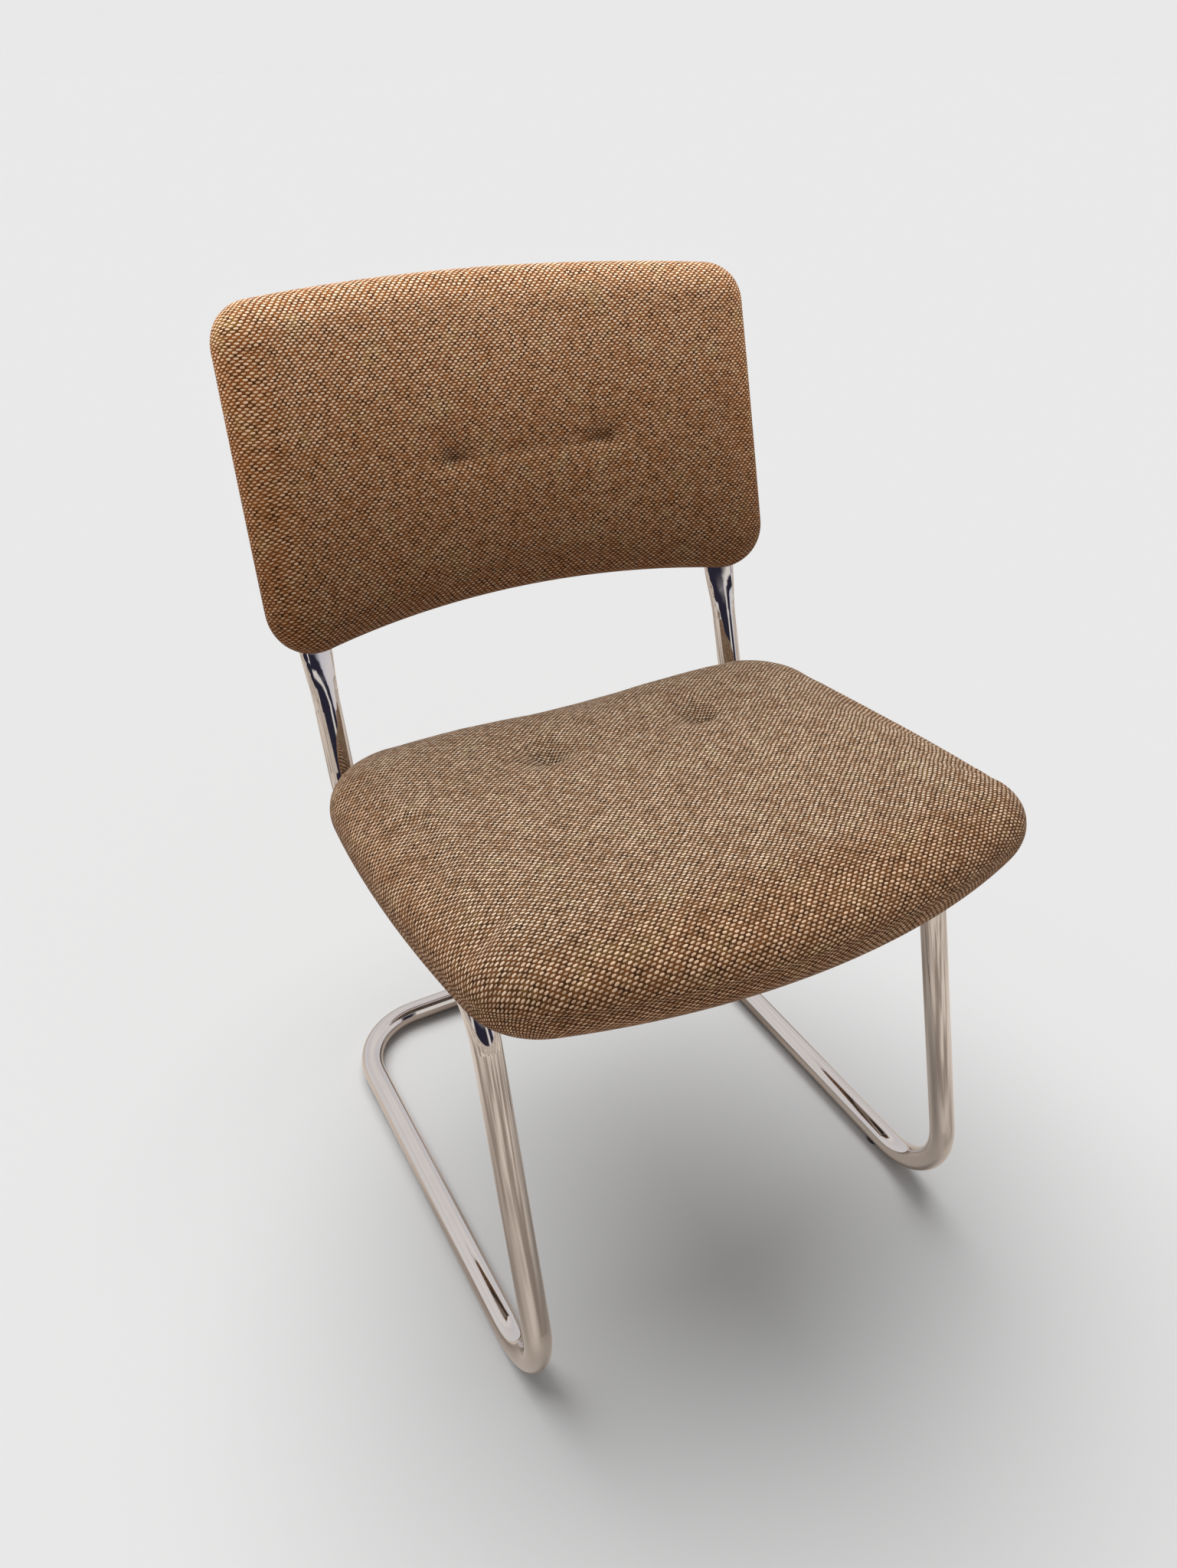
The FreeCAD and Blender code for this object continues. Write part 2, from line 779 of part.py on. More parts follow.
def crossing(point_a, direction_a, point_b, direction_b):
    """Where two lines meet, seen from the side of the chair."""
    span = point_b - point_a
    area = direction_a.y * direction_b.z - direction_a.z * direction_b.y
    along = (span.y * direction_b.z - span.z * direction_b.y) / area
    return point_a + direction_a * along


def leaning(angle):
    """Direction that goes up and leans to the rear."""
    turn = math.radians(angle)
    return Vector(0, math.sin(turn), math.cos(turn))


def side_corners():
    """Corners of the right side of the frame's axis, from the back down to the floor."""
    knee = back_place.multVec(back_point(upright_place(), upright_level, knee_height()))
    upright = leaning(upright_lean)
    rail_start = seat_place.multVec(Vector(0, 0, rail_level))
    rail = seat_place.Rotation.multVec(Vector(0, 1, 0))
    floor_front = Vector(runner_half_spacing, 0, tube_axis_height)
    rail_rear = crossing(rail_start, rail, knee, upright)
    rail_front = crossing(rail_start, rail, floor_front, leaning(leg_lean))
    rail_rear.x = upright_half_spacing
    rail_front.x = rail_front_half_spacing
    floor_rear = Vector(runner_half_spacing, floor_depth, tube_axis_height)
    return knee - upright * swage_length, rail_rear, rail_front, floor_front, floor_rear


def mirrored(point):
    return Vector(-point.x, point.y, point.z)


def frame_path():
    """Axis of the round part of the tube: straight runs joined by tangent arcs."""
    right = side_corners()
    bends = [seat_rear_bend, seat_front_bend, floor_front_bend, floor_rear_bend]
    points = [mirrored(point) for point in right] + list(reversed(right))
    radii = [0.0] + bends + list(reversed(bends)) + [0.0]
    edges = []
    here = points[0]
    for i in range(1, len(points) - 1):
        back_way = (points[i - 1] - points[i]).normalize()
        on_way = (points[i + 1] - points[i]).normalize()
        half_angle = back_way.getAngle(on_way) / 2
        trim = radii[i] / math.tan(half_angle)
        first = points[i] + back_way * trim
        last = points[i] + on_way * trim
        bisector = (back_way + on_way).normalize()
        centre = points[i] + bisector * (radii[i] / math.sin(half_angle))
        edges.append(Part.LineSegment(here, first).toShape())
        edges.append(Part.Arc(first, centre - bisector * radii[i], last).toShape())
        here = last
    edges.append(Part.LineSegment(here, points[-1]).toShape())
    return Part.Wire(edges)


def swage_section(origin, wide, thick, blend, round_radius, flat_half):
    """Section between a round tube, at blend 0, and a flattened one, at blend 1."""
    straight = math.pi * (tube_od - flat_thickness) / 4
    split = straight / tube_radius
    quarter = math.pi / 2
    shoulder = (split + quarter) / 2
    diagonal = flat_half * math.sqrt(0.5)
    half = [
        (split, straight, flat_half),
        (shoulder, straight + diagonal, diagonal),
        (quarter, straight + flat_half, 0.0),
        (math.pi - shoulder, straight + diagonal, -diagonal),
        (math.pi - split, straight, -flat_half),
        (math.pi, 0.0, -flat_half),
    ]
    stops = half + [(math.pi + angle, -across, -through) for angle, across, through in half]
    points = []
    for angle, flat_across, flat_through in stops:
        across = round_radius * math.sin(angle) * (1 - blend) + flat_across * blend
        through = round_radius * math.cos(angle) * (1 - blend) + flat_through * blend
        points.append(origin + wide * across + thick * through)
    edges = []
    for i in range(0, len(points), 2):
        start, middle, end = points[i], points[i + 1], points[(i + 2) % len(points)]
        if (middle - start).cross(end - middle).Length < straight_limit:
            edges.append(Part.LineSegment(start, end).toShape())
        else:
            edges.append(Part.Arc(start, middle, end).toShape())
    return Part.Wire(edges)


def upright_end(side, grow):
    """Solid of one upper tube end, its round part flattened towards the board; in world place.

    The grow is added all round, so that a negative one gives the bore.
    """
    place = back_normal_place(side * upright_place() * back_bend_radius, upright_level, knee_height())
    place = back_place.multiply(place)
    knee = place.Base
    along_board = back_place.Rotation.multVec(up)
    along_tube = leaning(upright_lean)
    sections = []
    for step in range(swage_steps + 1):
        share = step / swage_steps
        blend = (1 - math.cos(math.pi * share)) / 2
        direction = along_board if step == swage_steps else along_tube
        wide = place.Rotation.multVec(Vector(1, 0, 0))
        wide = (wide - direction * wide.dot(direction)).normalize()
        thick = direction.cross(wide)
        origin = knee - along_tube * swage_length * (1 - share)
        half = flat_thickness / 2 + grow
        sections.append(swage_section(origin, wide, thick, blend, tube_radius + grow, half))
    swage = smooth_loft(sections)
    flat = Part.Face(sections[-1]).extrude(along_board * flat_length)
    return swage.fuse(flat)


def tube_along(path, radius):
    """Round bar along the frame's path."""
    start = path.Edges[0].valueAt(path.Edges[0].FirstParameter)
    direction = path.Edges[0].tangentAt(path.Edges[0].FirstParameter)
    profile = Part.Wire(Part.makeCircle(radius, start, direction))
    return path.makePipeShell([profile], True, False)


def glide_points():
    """Foot of each glide, named, on the floor."""
    points = {}
    for row, depth in (("front", front_glide_position), ("rear", rear_glide_position)):
        for side, x in (("left", -runner_half_spacing), ("right", runner_half_spacing)):
            points[f"glide_{row}_{side}"] = Vector(x, depth, 0)
    return points


def make_frame_tube():
    path = frame_path()
    tube = tube_along(path, tube_radius)
    bore = tube_along(path, tube_bore_radius)
    expected = math.pi * tube_radius ** 2 * path.Length
    print(f"tube length {path.Length:.1f} volume share {tube.Volume / expected:.5f}")
    screw_hole = screw_diameter + 2 * screw_hole_gap
    tube = tube.cut(bore)
    for side in (-1, 1):
        end = upright_end(side, 0).cut(upright_end(side, -tube_wall))
        for height in screw_heights():
            across = side * upright_place() * back_bend_radius
            place = back_place.multiply(back_normal_place(across, upright_level, height))
            hole = cylinder(screw_hole, 2 * flat_thickness, Vector(0, 0, -flat_thickness))
            hole.Placement = place
            end = end.cut(hole)
        tube = tube.fuse(end)
    for foot in glide_points().values():
        tube = tube.cut(cylinder(glide_stem_diameter + 2 * glide_saddle_gap, tube_radius, foot))
    return tube


def make_glide(foot):
    """Low nylon button, saddled to the runner above it, with its stem in the tube's wall."""
    head = cylinder(glide_diameter, glide_saddle_height, foot)
    axis_start = foot + Vector(0, -glide_diameter, tube_axis_height)
    saddle = cylinder(
        tube_od + 2 * glide_saddle_gap, 2 * glide_diameter, axis_start, Vector(0, 1, 0)
    )
    stem = cylinder(glide_stem_diameter, glide_stem_length, foot)
    return head.cut(saddle).fuse(stem).removeSplitter()


def make_crossbar(depth):
    """Flat bar welded between the two rails, with its holes for the seat bolts."""
    reach = upright_half_spacing - crossbar_end_gap
    corner = Vector(-reach, depth - crossbar_width / 2, crossbar_bottom)
    bar = Part.makeBox(2 * reach, crossbar_width, crossbar_thickness, corner)
    bolt_hole = screw_diameter + 2 * screw_hole_gap
    for point in seat_bolt_points():
        if abs(point.y - depth) < crossbar_width / 2:
            bar = bar.cut(cylinder(bolt_hole, crossbar_thickness, at_level(point, crossbar_bottom)))
    bar.Placement = seat_place
    right = side_corners()
    for ends in ((right[1], right[2]), (mirrored(right[1]), mirrored(right[2]))):
        direction = ends[1] - ends[0]
        rail = cylinder(tube_od + 2 * weld_gap, direction.Length, ends[0], direction)
        bar = bar.cut(rail)
    return bar


def in_back_frame(shape):
    moved = shape.copy()
    moved.Placement = back_place.inverse().multiply(moved.Placement)
    return moved


def build():
    pieces = {"frame_tube": make_frame_tube()}
    pieces["front_crossbar"] = make_crossbar(front_crossbar_position)
    pieces["rear_crossbar"] = make_crossbar(rear_crossbar_position)
    for name, foot in glide_points().items():
        pieces[name] = make_glide(foot)
    for name, shape in make_seat().items():
        shape.Placement = seat_place.multiply(shape.Placement)
        pieces[name] = shape
    slots = [in_back_frame(upright_end(side, foam_gap)) for side in (-1, 1)]
    for name, shape in make_back(slots).items():
        shape.Placement = back_place.multiply(shape.Placement)
        pieces[name] = shape
    return pieces


def place_origin(pieces):
    """Move the chair so that the origin lies under the middle of its outline, on the floor."""
    box = Part.makeCompound(list(pieces.values())).optimalBoundingBox(False, False)
    shift = Vector(0, -(box.YMin + box.YMax) / 2, 0)
    for shape in pieces.values():
        shape.translate(shift)
    print(f"shift {shift.y:.3f}, box {box.XLength:.2f} x {box.YLength:.2f} x {box.ZMax:.2f}")


def main():
    os.makedirs("parts", exist_ok=True)
    pieces = build()
    place_origin(pieces)
    for name, shape in pieces.items():
        print(f"{name}: {len(shape.Solids)} solid, {shape.Volume:.1f} mm3, valid {shape.isValid()}")
        shape.exportStep(f"parts/{name}.step")


main()
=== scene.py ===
import logging
import math
from dataclasses import dataclass, field
from enum import Enum
from typing import Any, Callable, Mapping, Optional, Sequence, Union

import bmesh
import bpy
import numpy as np
from mathutils import Matrix, Vector


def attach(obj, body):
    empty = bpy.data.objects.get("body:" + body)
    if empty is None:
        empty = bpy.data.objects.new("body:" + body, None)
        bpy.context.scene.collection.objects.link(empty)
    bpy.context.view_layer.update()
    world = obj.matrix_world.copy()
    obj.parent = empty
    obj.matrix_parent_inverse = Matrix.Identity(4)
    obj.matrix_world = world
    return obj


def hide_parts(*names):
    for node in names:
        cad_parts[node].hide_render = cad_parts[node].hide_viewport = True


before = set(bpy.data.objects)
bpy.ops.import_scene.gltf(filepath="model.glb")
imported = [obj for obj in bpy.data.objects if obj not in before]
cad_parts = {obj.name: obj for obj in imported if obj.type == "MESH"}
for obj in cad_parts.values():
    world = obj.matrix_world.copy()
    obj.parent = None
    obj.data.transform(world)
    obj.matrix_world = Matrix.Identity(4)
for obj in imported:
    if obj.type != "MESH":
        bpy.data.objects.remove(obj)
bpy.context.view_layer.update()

# Cantilever side chair: chromed tube frame, tweed seat and tweed back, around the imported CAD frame.
# Metres. Each pad is made flat in a frame of its own: X across, Y along it and Z out of its face.

Colour = tuple[float, float, float]
Place = tuple[float, float, float]
Span = tuple[float, float]
Stops = Sequence[tuple[float, Colour]]
Points = np.ndarray
log = logging.getLogger("chair")

CLOTH_MAP = "cloth"


# Shader expressions


def maths_method(operation: str, swapped: bool = False) -> Callable[..., "Wire"]:
    """Makes a method of Wire that adds a Math node.

    Args:
        operation: The node's operation.
        swapped: True where the wire is the node's last input, as when a plain number comes first.

    Returns:
        The method, which takes the node's other inputs and returns a wire from the result.
    """

    def method(wire: "Wire", *others: "Number") -> "Wire":
        """Adds the node to the wire's shader."""
        values = (*others, wire) if swapped else (wire, *others)
        return wire.shader.maths(operation, *values)

    return method


class Wire:
    """The output socket of a shader node, which adds Math nodes when it is used in an expression."""

    def __init__(self, shader: "Shader", socket: Optional[bpy.types.NodeSocket]) -> None:
        """Keeps the socket and the shader that it belongs to."""
        self.shader = shader
        self.socket = socket

    __add__ = maths_method("ADD")
    __radd__ = maths_method("ADD", swapped=True)
    __sub__ = maths_method("SUBTRACT")
    __rsub__ = maths_method("SUBTRACT", swapped=True)
    __mul__ = maths_method("MULTIPLY")
    __rmul__ = maths_method("MULTIPLY", swapped=True)
    __truediv__ = maths_method("DIVIDE")
    __pow__ = maths_method("POWER")
    __mod__ = maths_method("FLOORED_MODULO")
    __abs__ = maths_method("ABSOLUTE")
    floor = maths_method("FLOOR")
    root = maths_method("SQRT")
    at_least = maths_method("MAXIMUM")
    at_most = maths_method("MINIMUM")

    def clamped(self) -> "Wire":
        """The value held between 0 and 1."""
        return self.at_least(0.0).at_most(1.0)


Number = Union[Wire, float, int]


class Shader:
    """The node tree of one material or of the world."""

    MIX_FACTOR, MIX_A, MIX_B, MIX_RESULT = 0, 6, 7, 2

    def __init__(self, tree: bpy.types.NodeTree) -> None:
        """Starts from an empty tree."""
        self.tree = tree
        self.tree.nodes.clear()

    @classmethod
    def for_material(cls, name: str) -> tuple["Shader", bpy.types.Material]:
        """Makes a material.

        Args:
            name: The material's name.

        Returns:
            Its shader and the material.
        """
        material = bpy.data.materials.new(name)
        material.use_nodes = True
        return cls(material.node_tree), material

    def node(
        self,
        kind: str,
        settings: Optional[Mapping[str, Any]] = None,
        sockets: Optional[Mapping[Any, Any]] = None,
        output: Union[int, str] = 0,
    ) -> Wire:
        """Adds a node.

        Args:
            kind: The node's type.
            settings: Its settings, where "stops" are the places and colours of a ramp.
            sockets: Values or wires for its input sockets, by name or number.
            output: The output socket that the wire comes from.

        Returns:
            A wire from that output.
        """
        made = self.tree.nodes.new(kind)
        for name, value in (settings or {}).items():
            if name == "stops":
                self.set_stops(made.color_ramp, value)
            else:
                setattr(made, name, value)
        for name, value in (sockets or {}).items():
            if isinstance(value, Wire):
                self.tree.links.new(value.socket, made.inputs[name])
            else:
                made.inputs[name].default_value = value
        return Wire(self, made.outputs[output] if len(made.outputs) else None)

    @staticmethod
    def set_stops(ramp: bpy.types.ColorRamp, stops: Stops) -> None:
        """Gives a colour ramp its stops.

        Args:
            ramp: The ramp of a new node, which has two stops.
            stops: Places from 0 to 1 with their colours.
        """
        while len(ramp.elements) < len(stops):
            ramp.elements.new(1.0)
        for element, (place, colour) in zip(ramp.elements, stops):
            element.position = place
            element.color = (*colour, 1.0)

    def maths(self, operation: str, *values: Number) -> Wire:
        """Adds a Math node.

        Args:
            operation: The node's operation.
            values: Its inputs, in order.

        Returns:
            A wire from the result.
        """
        return self.node("ShaderNodeMath", {"operation": operation}, dict(enumerate(values)))

    def mix(self, first: Any, second: Any, factor: Number, blend: str = "MIX") -> Wire:
        """Blends two colours.

        Args:
            first: Colour or wire at a factor of 0.
            second: Colour or wire at a factor of 1.
            factor: Share of the second.
            blend: The node's blend type.

        Returns:
            A wire from the blended colour.
        """
        settings = {"data_type": "RGBA", "blend_type": blend}
        sockets = {self.MIX_FACTOR: factor, self.MIX_A: solid(first), self.MIX_B: solid(second)}
        return self.node("ShaderNodeMix", settings, sockets, self.MIX_RESULT)

    def noise(self, place: Wire, scale: float, detail: float = 2.0, output: str = "Fac") -> Wire:
        """Adds soft noise.

        Args:
            place: Coordinates.
            scale: Features for each unit of the coordinates.
            detail: Layers of finer noise.
            output: "Fac" for a number or "Color" for three.

        Returns:
            A wire from the noise.
        """
        sockets = {"Vector": place, "Scale": scale, "Detail": detail}
        return self.node("ShaderNodeTexNoise", {}, sockets, output)

    def ramp(self, value: Wire, stops: Stops) -> Wire:
        """Adds a colour ramp.

        Args:
            value: What is looked up, from 0 to 1.
            stops: Places with their colours.

        Returns:
            A wire from the colour.
        """
        return self.node("ShaderNodeValToRGB", {"stops": stops}, {"Fac": value}, "Color")

    def between(self, value: Number, low: float, high: float) -> Wire:
        """Smooth step.

        Args:
            value: What is compared.
            low: Where the step starts.
            high: Where the step ends.

        Returns:
            A wire that goes smoothly from 0 to 1.
        """
        settings = {"interpolation_type": "SMOOTHSTEP"}
        sockets = {"Value": value, "From Min": low, "From Max": high}
        return self.node("ShaderNodeMapRange", settings, sockets, "Result")

    def parts(self, vector: Wire) -> tuple[Wire, Wire, Wire]:
        """Splits a vector.

        Args:
            vector: The vector or colour.

        Returns:
            Wires from its three parts.
        """
        split = self.node("ShaderNodeSeparateXYZ", {}, {"Vector": vector}, "X")
        outputs = split.socket.node.outputs
        return split, Wire(self, outputs["Y"]), Wire(self, outputs["Z"])

    def joined(self, x: Number, y: Number, z: Number) -> Wire:
        """Joins three numbers into a vector."""
        return self.node("ShaderNodeCombineXYZ", {}, {"X": x, "Y": y, "Z": z})

    def grey(self, level: Number) -> Wire:
        """Colour whose three parts are the same."""
        return self.node("ShaderNodeCombineColor", {}, {"Red": level, "Green": level, "Blue": level})

    def object_place(self) -> Wire:
        """Place on the piece, in metres."""
        return self.node("ShaderNodeTexCoord", output="Object")

    def seen_by(self, ray: str) -> Wire:
        """1 for a kind of ray, such as "Is Camera Ray", and 0 for the others."""
        return self.node("ShaderNodeLightPath", output=ray)

    def bump(self, height: Wire, distance: float) -> Wire:
        """Adds a bump.

        Args:
            height: Height from 0 to 1.
            distance: The real size of a height of 1, in metres.

        Returns:
            A wire from the normal.
        """
        return self.node("ShaderNodeBump", {}, {"Height": height, "Distance": distance}, "Normal")

    def surface(self, sockets: Mapping[str, Any]) -> None:
        """Ends a material in one Principled shader.

        Args:
            sockets: Values or wires of the shader's sockets.
        """
        made = {name: solid(value) for name, value in sockets.items()}
        shader = self.node("ShaderNodeBsdfPrincipled", {}, made)
        self.node("ShaderNodeOutputMaterial", {}, {"Surface": shader})


def solid(value: Any) -> Any:
    """A colour of three parts gets its fourth, and anything else stays as it is."""
    return (*value, 1.0) if isinstance(value, tuple) and len(value) == 3 else value


# Finishes


class Finish:
    """The looks of a piece, as the sockets of one Principled shader."""

    name: str

    def sockets(self, shader: Shader) -> dict[str, Any]:
        """Values and wires of the Principled shader's sockets."""
        raise NotImplementedError

    def material(self) -> bpy.types.Material:
        """Makes the material.

        Returns:
            The finished material.
        """
        shader, material = Shader.for_material(self.name)
        shader.surface(self.sockets(shader))
        return material


@dataclass(frozen=True)
class TuftShade:
    """Painted shade above a line where the cover is pulled in and the cloth turns away from the light, in
    millimetres on the cloth.
    """

    across: float
    line: float
    half_width: float
    height: float
    strength: float


@dataclass(frozen=True)
class Wander:
    """How the yarns stray from a true grid: bends for each millimetre, and the reach both ways."""

    scale: float
    across: float
    along: float


@dataclass(frozen=True)
class Tweed(Finish):
    """Coarse plain weave of a pale slubby weft over a rust warp, on the cloth's own coordinates.

    Lengths are in millimetres. A span holds where a smooth step starts and where it ends.
    """

    name: str
    weft: Colour
    weft_dark: Colour
    warp: Colour
    warp_dark: Colour
    fleck: Colour
    # Painted light: the side and lower rolls are drawn warmer than the faces, which catch whiter light from
    # above.
    rim: Span
    rim_painted_warmth: Colour
    # Painted light: the cloth is drawn lighter and paler towards its top, where light from above falls.
    painted_top_light: float = 0.0
    painted_top_pallor: float = 0.0
    painted_light_reach: float = 120.0
    # Painted shade round the tufts and along the valley between them.
    tuft_shades: tuple[TuftShade, ...] = ()
    tuft_shade_edge: float = 2.5
    rim_starts: Span = (0.82, 1.12)
    rim_ends: Span = (1.6, 1.4)
    drift: Wander = Wander(0.055, 3.2, 2.4)
    slack: Wander = Wander(0.42, 0.8, 0.5)
    column: float = 2.63
    row: float = 2.22
    weft_half_width: float = 1.85
    weft_half_height: float = 0.88
    weft_slant: float = 0.22
    weft_thinnest: float = 0.92
    weft_fatter: float = 0.16
    warp_half_width: float = 1.3
    warp_height: float = 0.72
    lap: Span = (-0.12, 0.22)
    fibre_stretch: Span = (0.6, 2.2)
    fibre_scale: float = 1.3
    patch_scale: float = 0.035
    patch: Span = (0.54, 0.68)
    fleck_scale: float = 0.16
    fleck_step: Span = (0.3, 0.62)
    pale_by_pick: float = 0.5
    pale_by_fibre: float = 0.8
    pale_by_row: float = 0.1
    pale_by_patch: float = 0.6
    pale_from: float = 0.48
    # Painted shade: the gaps between yarns are darkened towards warp_dark by yarn height.
    hollow: Span = (0.05, 0.75)
    painted_gap_shade: float = 0.3
    fuzz_scale: float = 2.6
    fuzz_height: float = 0.25
    relief: float = 0.00045
    roughness: float = 0.92
    gloss: float = 0.08
    sheen: float = 0.06
    sheen_roughness: float = 0.4
    millimetre: float = 1000.0

    def sockets(self, shader: Shader) -> dict[str, Any]:
        """Values and wires of the Principled shader's sockets."""
        cloth = shader.node("ShaderNodeUVMap", {"uv_map": CLOTH_MAP})
        scaled = {0: cloth, "Scale": self.millimetre}
        flat = shader.node("ShaderNodeVectorMath", {"operation": "SCALE"}, scaled)
        across, along, _ = shader.parts(flat)
        patches = shader.noise(flat, self.patch_scale, 3.0)
        yarn, height = self.weave(shader, flat, patches)
        colour = shader.mix(yarn, self.painted_light_and_shade(shader, across, along), 1.0, "MULTIPLY")
        # painted light: a band round the side and lower rolls, tinted warmer
        outwards = (abs(across) / self.rim[0]).at_least(along / -self.rim[1])
        rim = shader.between(outwards, *self.rim_starts) * shader.between(outwards, *self.rim_ends)
        fuzz = shader.noise(flat, self.fuzz_scale)
        return {
            "Base Color": shader.mix(colour, self.rim_painted_warmth, rim, "MULTIPLY"),
            "Roughness": self.roughness,
            "Specular IOR Level": self.gloss,
            "Sheen Weight": self.sheen,
            "Sheen Roughness": self.sheen_roughness,
            "Normal": shader.bump(height + fuzz * self.fuzz_height, self.relief),
        }

    def weave(self, shader: Shader, flat: Wire, patches: Wire) -> tuple[Wire, Wire]:
        """Lays the yarns.

        Args:
            shader: The material's shader.
            flat: Place on the cloth.
            patches: Noise of the cloth's paler patches.

        Returns:
            Wires from the yarns' colour and height.
        """
        across, along, _ = shader.parts(flat)
        u, v = across, along
        for wander in (self.drift, self.slack):
            aside, ahead, _ = shader.parts(shader.noise(flat, wander.scale, output="Color"))
            u = u + (aside - 0.5) * wander.across
            v = v + (ahead - 0.5) * wander.along
        rows = v / self.row
        row = rows.floor()
        y = (rows - row - 0.5) * self.row
        odd = row % 2.0
        pairs = u / (2 * self.column) + odd * 0.5
        pair = pairs.floor()
        x = (pairs - pair - 0.5) * (2 * self.column)
        pick = {"Vector": shader.joined(pair, row, 0.0)}
        chance = shader.node("ShaderNodeTexWhiteNoise", {"noise_dimensions": "2D"}, pick)
        leaning = x - y * self.weft_slant
        fat = self.weft_thinnest + chance * self.weft_fatter
        wide = (leaning / (fat * self.weft_half_width)) ** 2.0
        high = (y / (fat * self.weft_half_height)) ** 2.0
        weft_height = (1 - wide - high).at_least(0.0).root()
        side = self.column - abs(x)
        warp_dome = 1 - (side / self.warp_half_width) ** 2.0
        warp_height = warp_dome.at_least(0.0).root() * self.warp_height
        height = weft_height.at_least(warp_height)

        stretched = shader.joined(u * self.fibre_stretch[0], v * self.fibre_stretch[1], chance)
        fibres = shader.noise(stretched, self.fibre_scale, 3.0)
        flecks = shader.noise(flat, self.fleck_scale)
        pale = chance * self.pale_by_pick + fibres * self.pale_by_fibre + odd * self.pale_by_row
        pale = pale + patches * self.pale_by_patch
        # painted light: the weft grows paler towards the top
        pale = pale + shader.between(along, 0.0, self.painted_light_reach) * self.painted_top_pallor
        weft_colour = shader.mix(self.weft_dark, self.weft, (pale - self.pale_from).clamped())
        rust = shader.mix(self.warp, self.fleck, shader.between(patches, *self.patch))
        warp_colour = shader.mix(self.warp_dark, rust, shader.between(flecks, *self.fleck_step))
        on_weft = shader.between(weft_height - warp_height, *self.lap)
        yarn = shader.mix(warp_colour, weft_colour, on_weft)
        # painted shade in the gaps between yarns
        light = self.painted_gap_shade + shader.between(height, *self.hollow) * (1 - self.painted_gap_shade)
        return shader.mix(self.warp_dark, yarn, light), height

    def painted_light_and_shade(self, shader: Shader, across: Wire, along: Wire) -> Wire:
        """Paints light that grows along the cloth's length, and painted shade where the cover is pulled in.

        Args:
            shader: The material's shader.
            across: Place across the cloth.
            along: Place along the cloth.

        Returns:
            A wire from the grey that the yarns' colour is multiplied by.
        """
        # painted light: lighter towards the top
        light = 1 + along / self.painted_light_reach * self.painted_top_light
        # painted shade above each tuft's line, where the cloth faces away from the light
        for tuft_shade in self.tuft_shades:
            above = along - tuft_shade.line
            away = ((across - tuft_shade.across) / tuft_shade.half_width) ** 2.0 + (above / tuft_shade.height) ** 2.0
            shade_share = shader.between(away, 1.0, 0.0) * shader.between(above, -self.tuft_shade_edge, self.tuft_shade_edge)
            light = light * (1 - shade_share * tuft_shade.strength)
        return shader.grey(light)


@dataclass(frozen=True)
class Metal(Finish):
    """Plated steel, polished or dull, with faint smears and pits."""

    name: str
    colour: Colour
    stain: Colour
    smooth: float
    rough: float
    ripple: float
    ripple_scale: float = 60.0
    smear_scale: float = 26.0
    smear: Span = (0.35, 0.75)
    smear_share: float = 0.6
    haze_scale: float = 7.0
    pit_scale: float = 420.0
    pit: Span = (0.70, 0.78)
    pit_roughness: float = 0.15
    stain_share: float = 0.35
    pit_stain: float = 0.5

    def sockets(self, shader: Shader) -> dict[str, Any]:
        """Values and wires of the Principled shader's sockets."""
        place = shader.object_place()
        smears = shader.between(shader.noise(place, self.smear_scale, 4.0), *self.smear)
        haze = shader.noise(place, self.haze_scale)
        pits = shader.between(shader.noise(place, self.pit_scale), *self.pit)
        dull = (smears * self.smear_share + haze * (1 - self.smear_share)).clamped()
        stained = (dull * self.stain_share + pits * self.pit_stain).clamped()
        roughness = self.smooth + dull * (self.rough - self.smooth) + pits * self.pit_roughness
        return {
            "Base Color": shader.mix(self.colour, self.stain, stained),
            "Metallic": 1.0,
            "Roughness": roughness,
            "Normal": shader.bump(shader.noise(place, self.ripple_scale), self.ripple),
        }


class Grain(Enum):
    """How the texture of a plain finish runs."""

    EVEN = (1.0, 1.0, 1.0)
    ACROSS = (0.06, 1.0, 1.0)
    LAYERED = (0.3, 0.3, 6.0)


@dataclass(frozen=True)
class Plain(Finish):
    """A dull finish of two mixed colours with a fine relief, such as nylon, felt, foam or plywood."""

    name: str
    colour: Colour
    second: Colour
    scale: float
    relief: float
    roughness: float
    grain: Grain = Grain.EVEN
    fine_scale: float = 5.0
    fine_share: float = 0.35
    fine_gloss: float = 0.1
    blend: Span = (0.38, 0.62)

    def sockets(self, shader: Shader) -> dict[str, Any]:
        """Values and wires of the Principled shader's sockets."""
        stretch = {0: shader.object_place(), 1: self.grain.value}
        place = shader.node("ShaderNodeVectorMath", {"operation": "MULTIPLY"}, stretch)
        coarse = shader.noise(place, self.scale, 4.0)
        fine = shader.noise(place, self.scale * self.fine_scale)
        mixed = coarse * (1 - self.fine_share) + fine * self.fine_share
        share = shader.between(mixed, *self.blend)
        return {
            "Base Color": shader.mix(self.colour, self.second, share),
            "Roughness": self.roughness - self.fine_gloss * fine,
            "Normal": shader.bump(coarse * 0.5 + fine * 0.5, self.relief),
        }


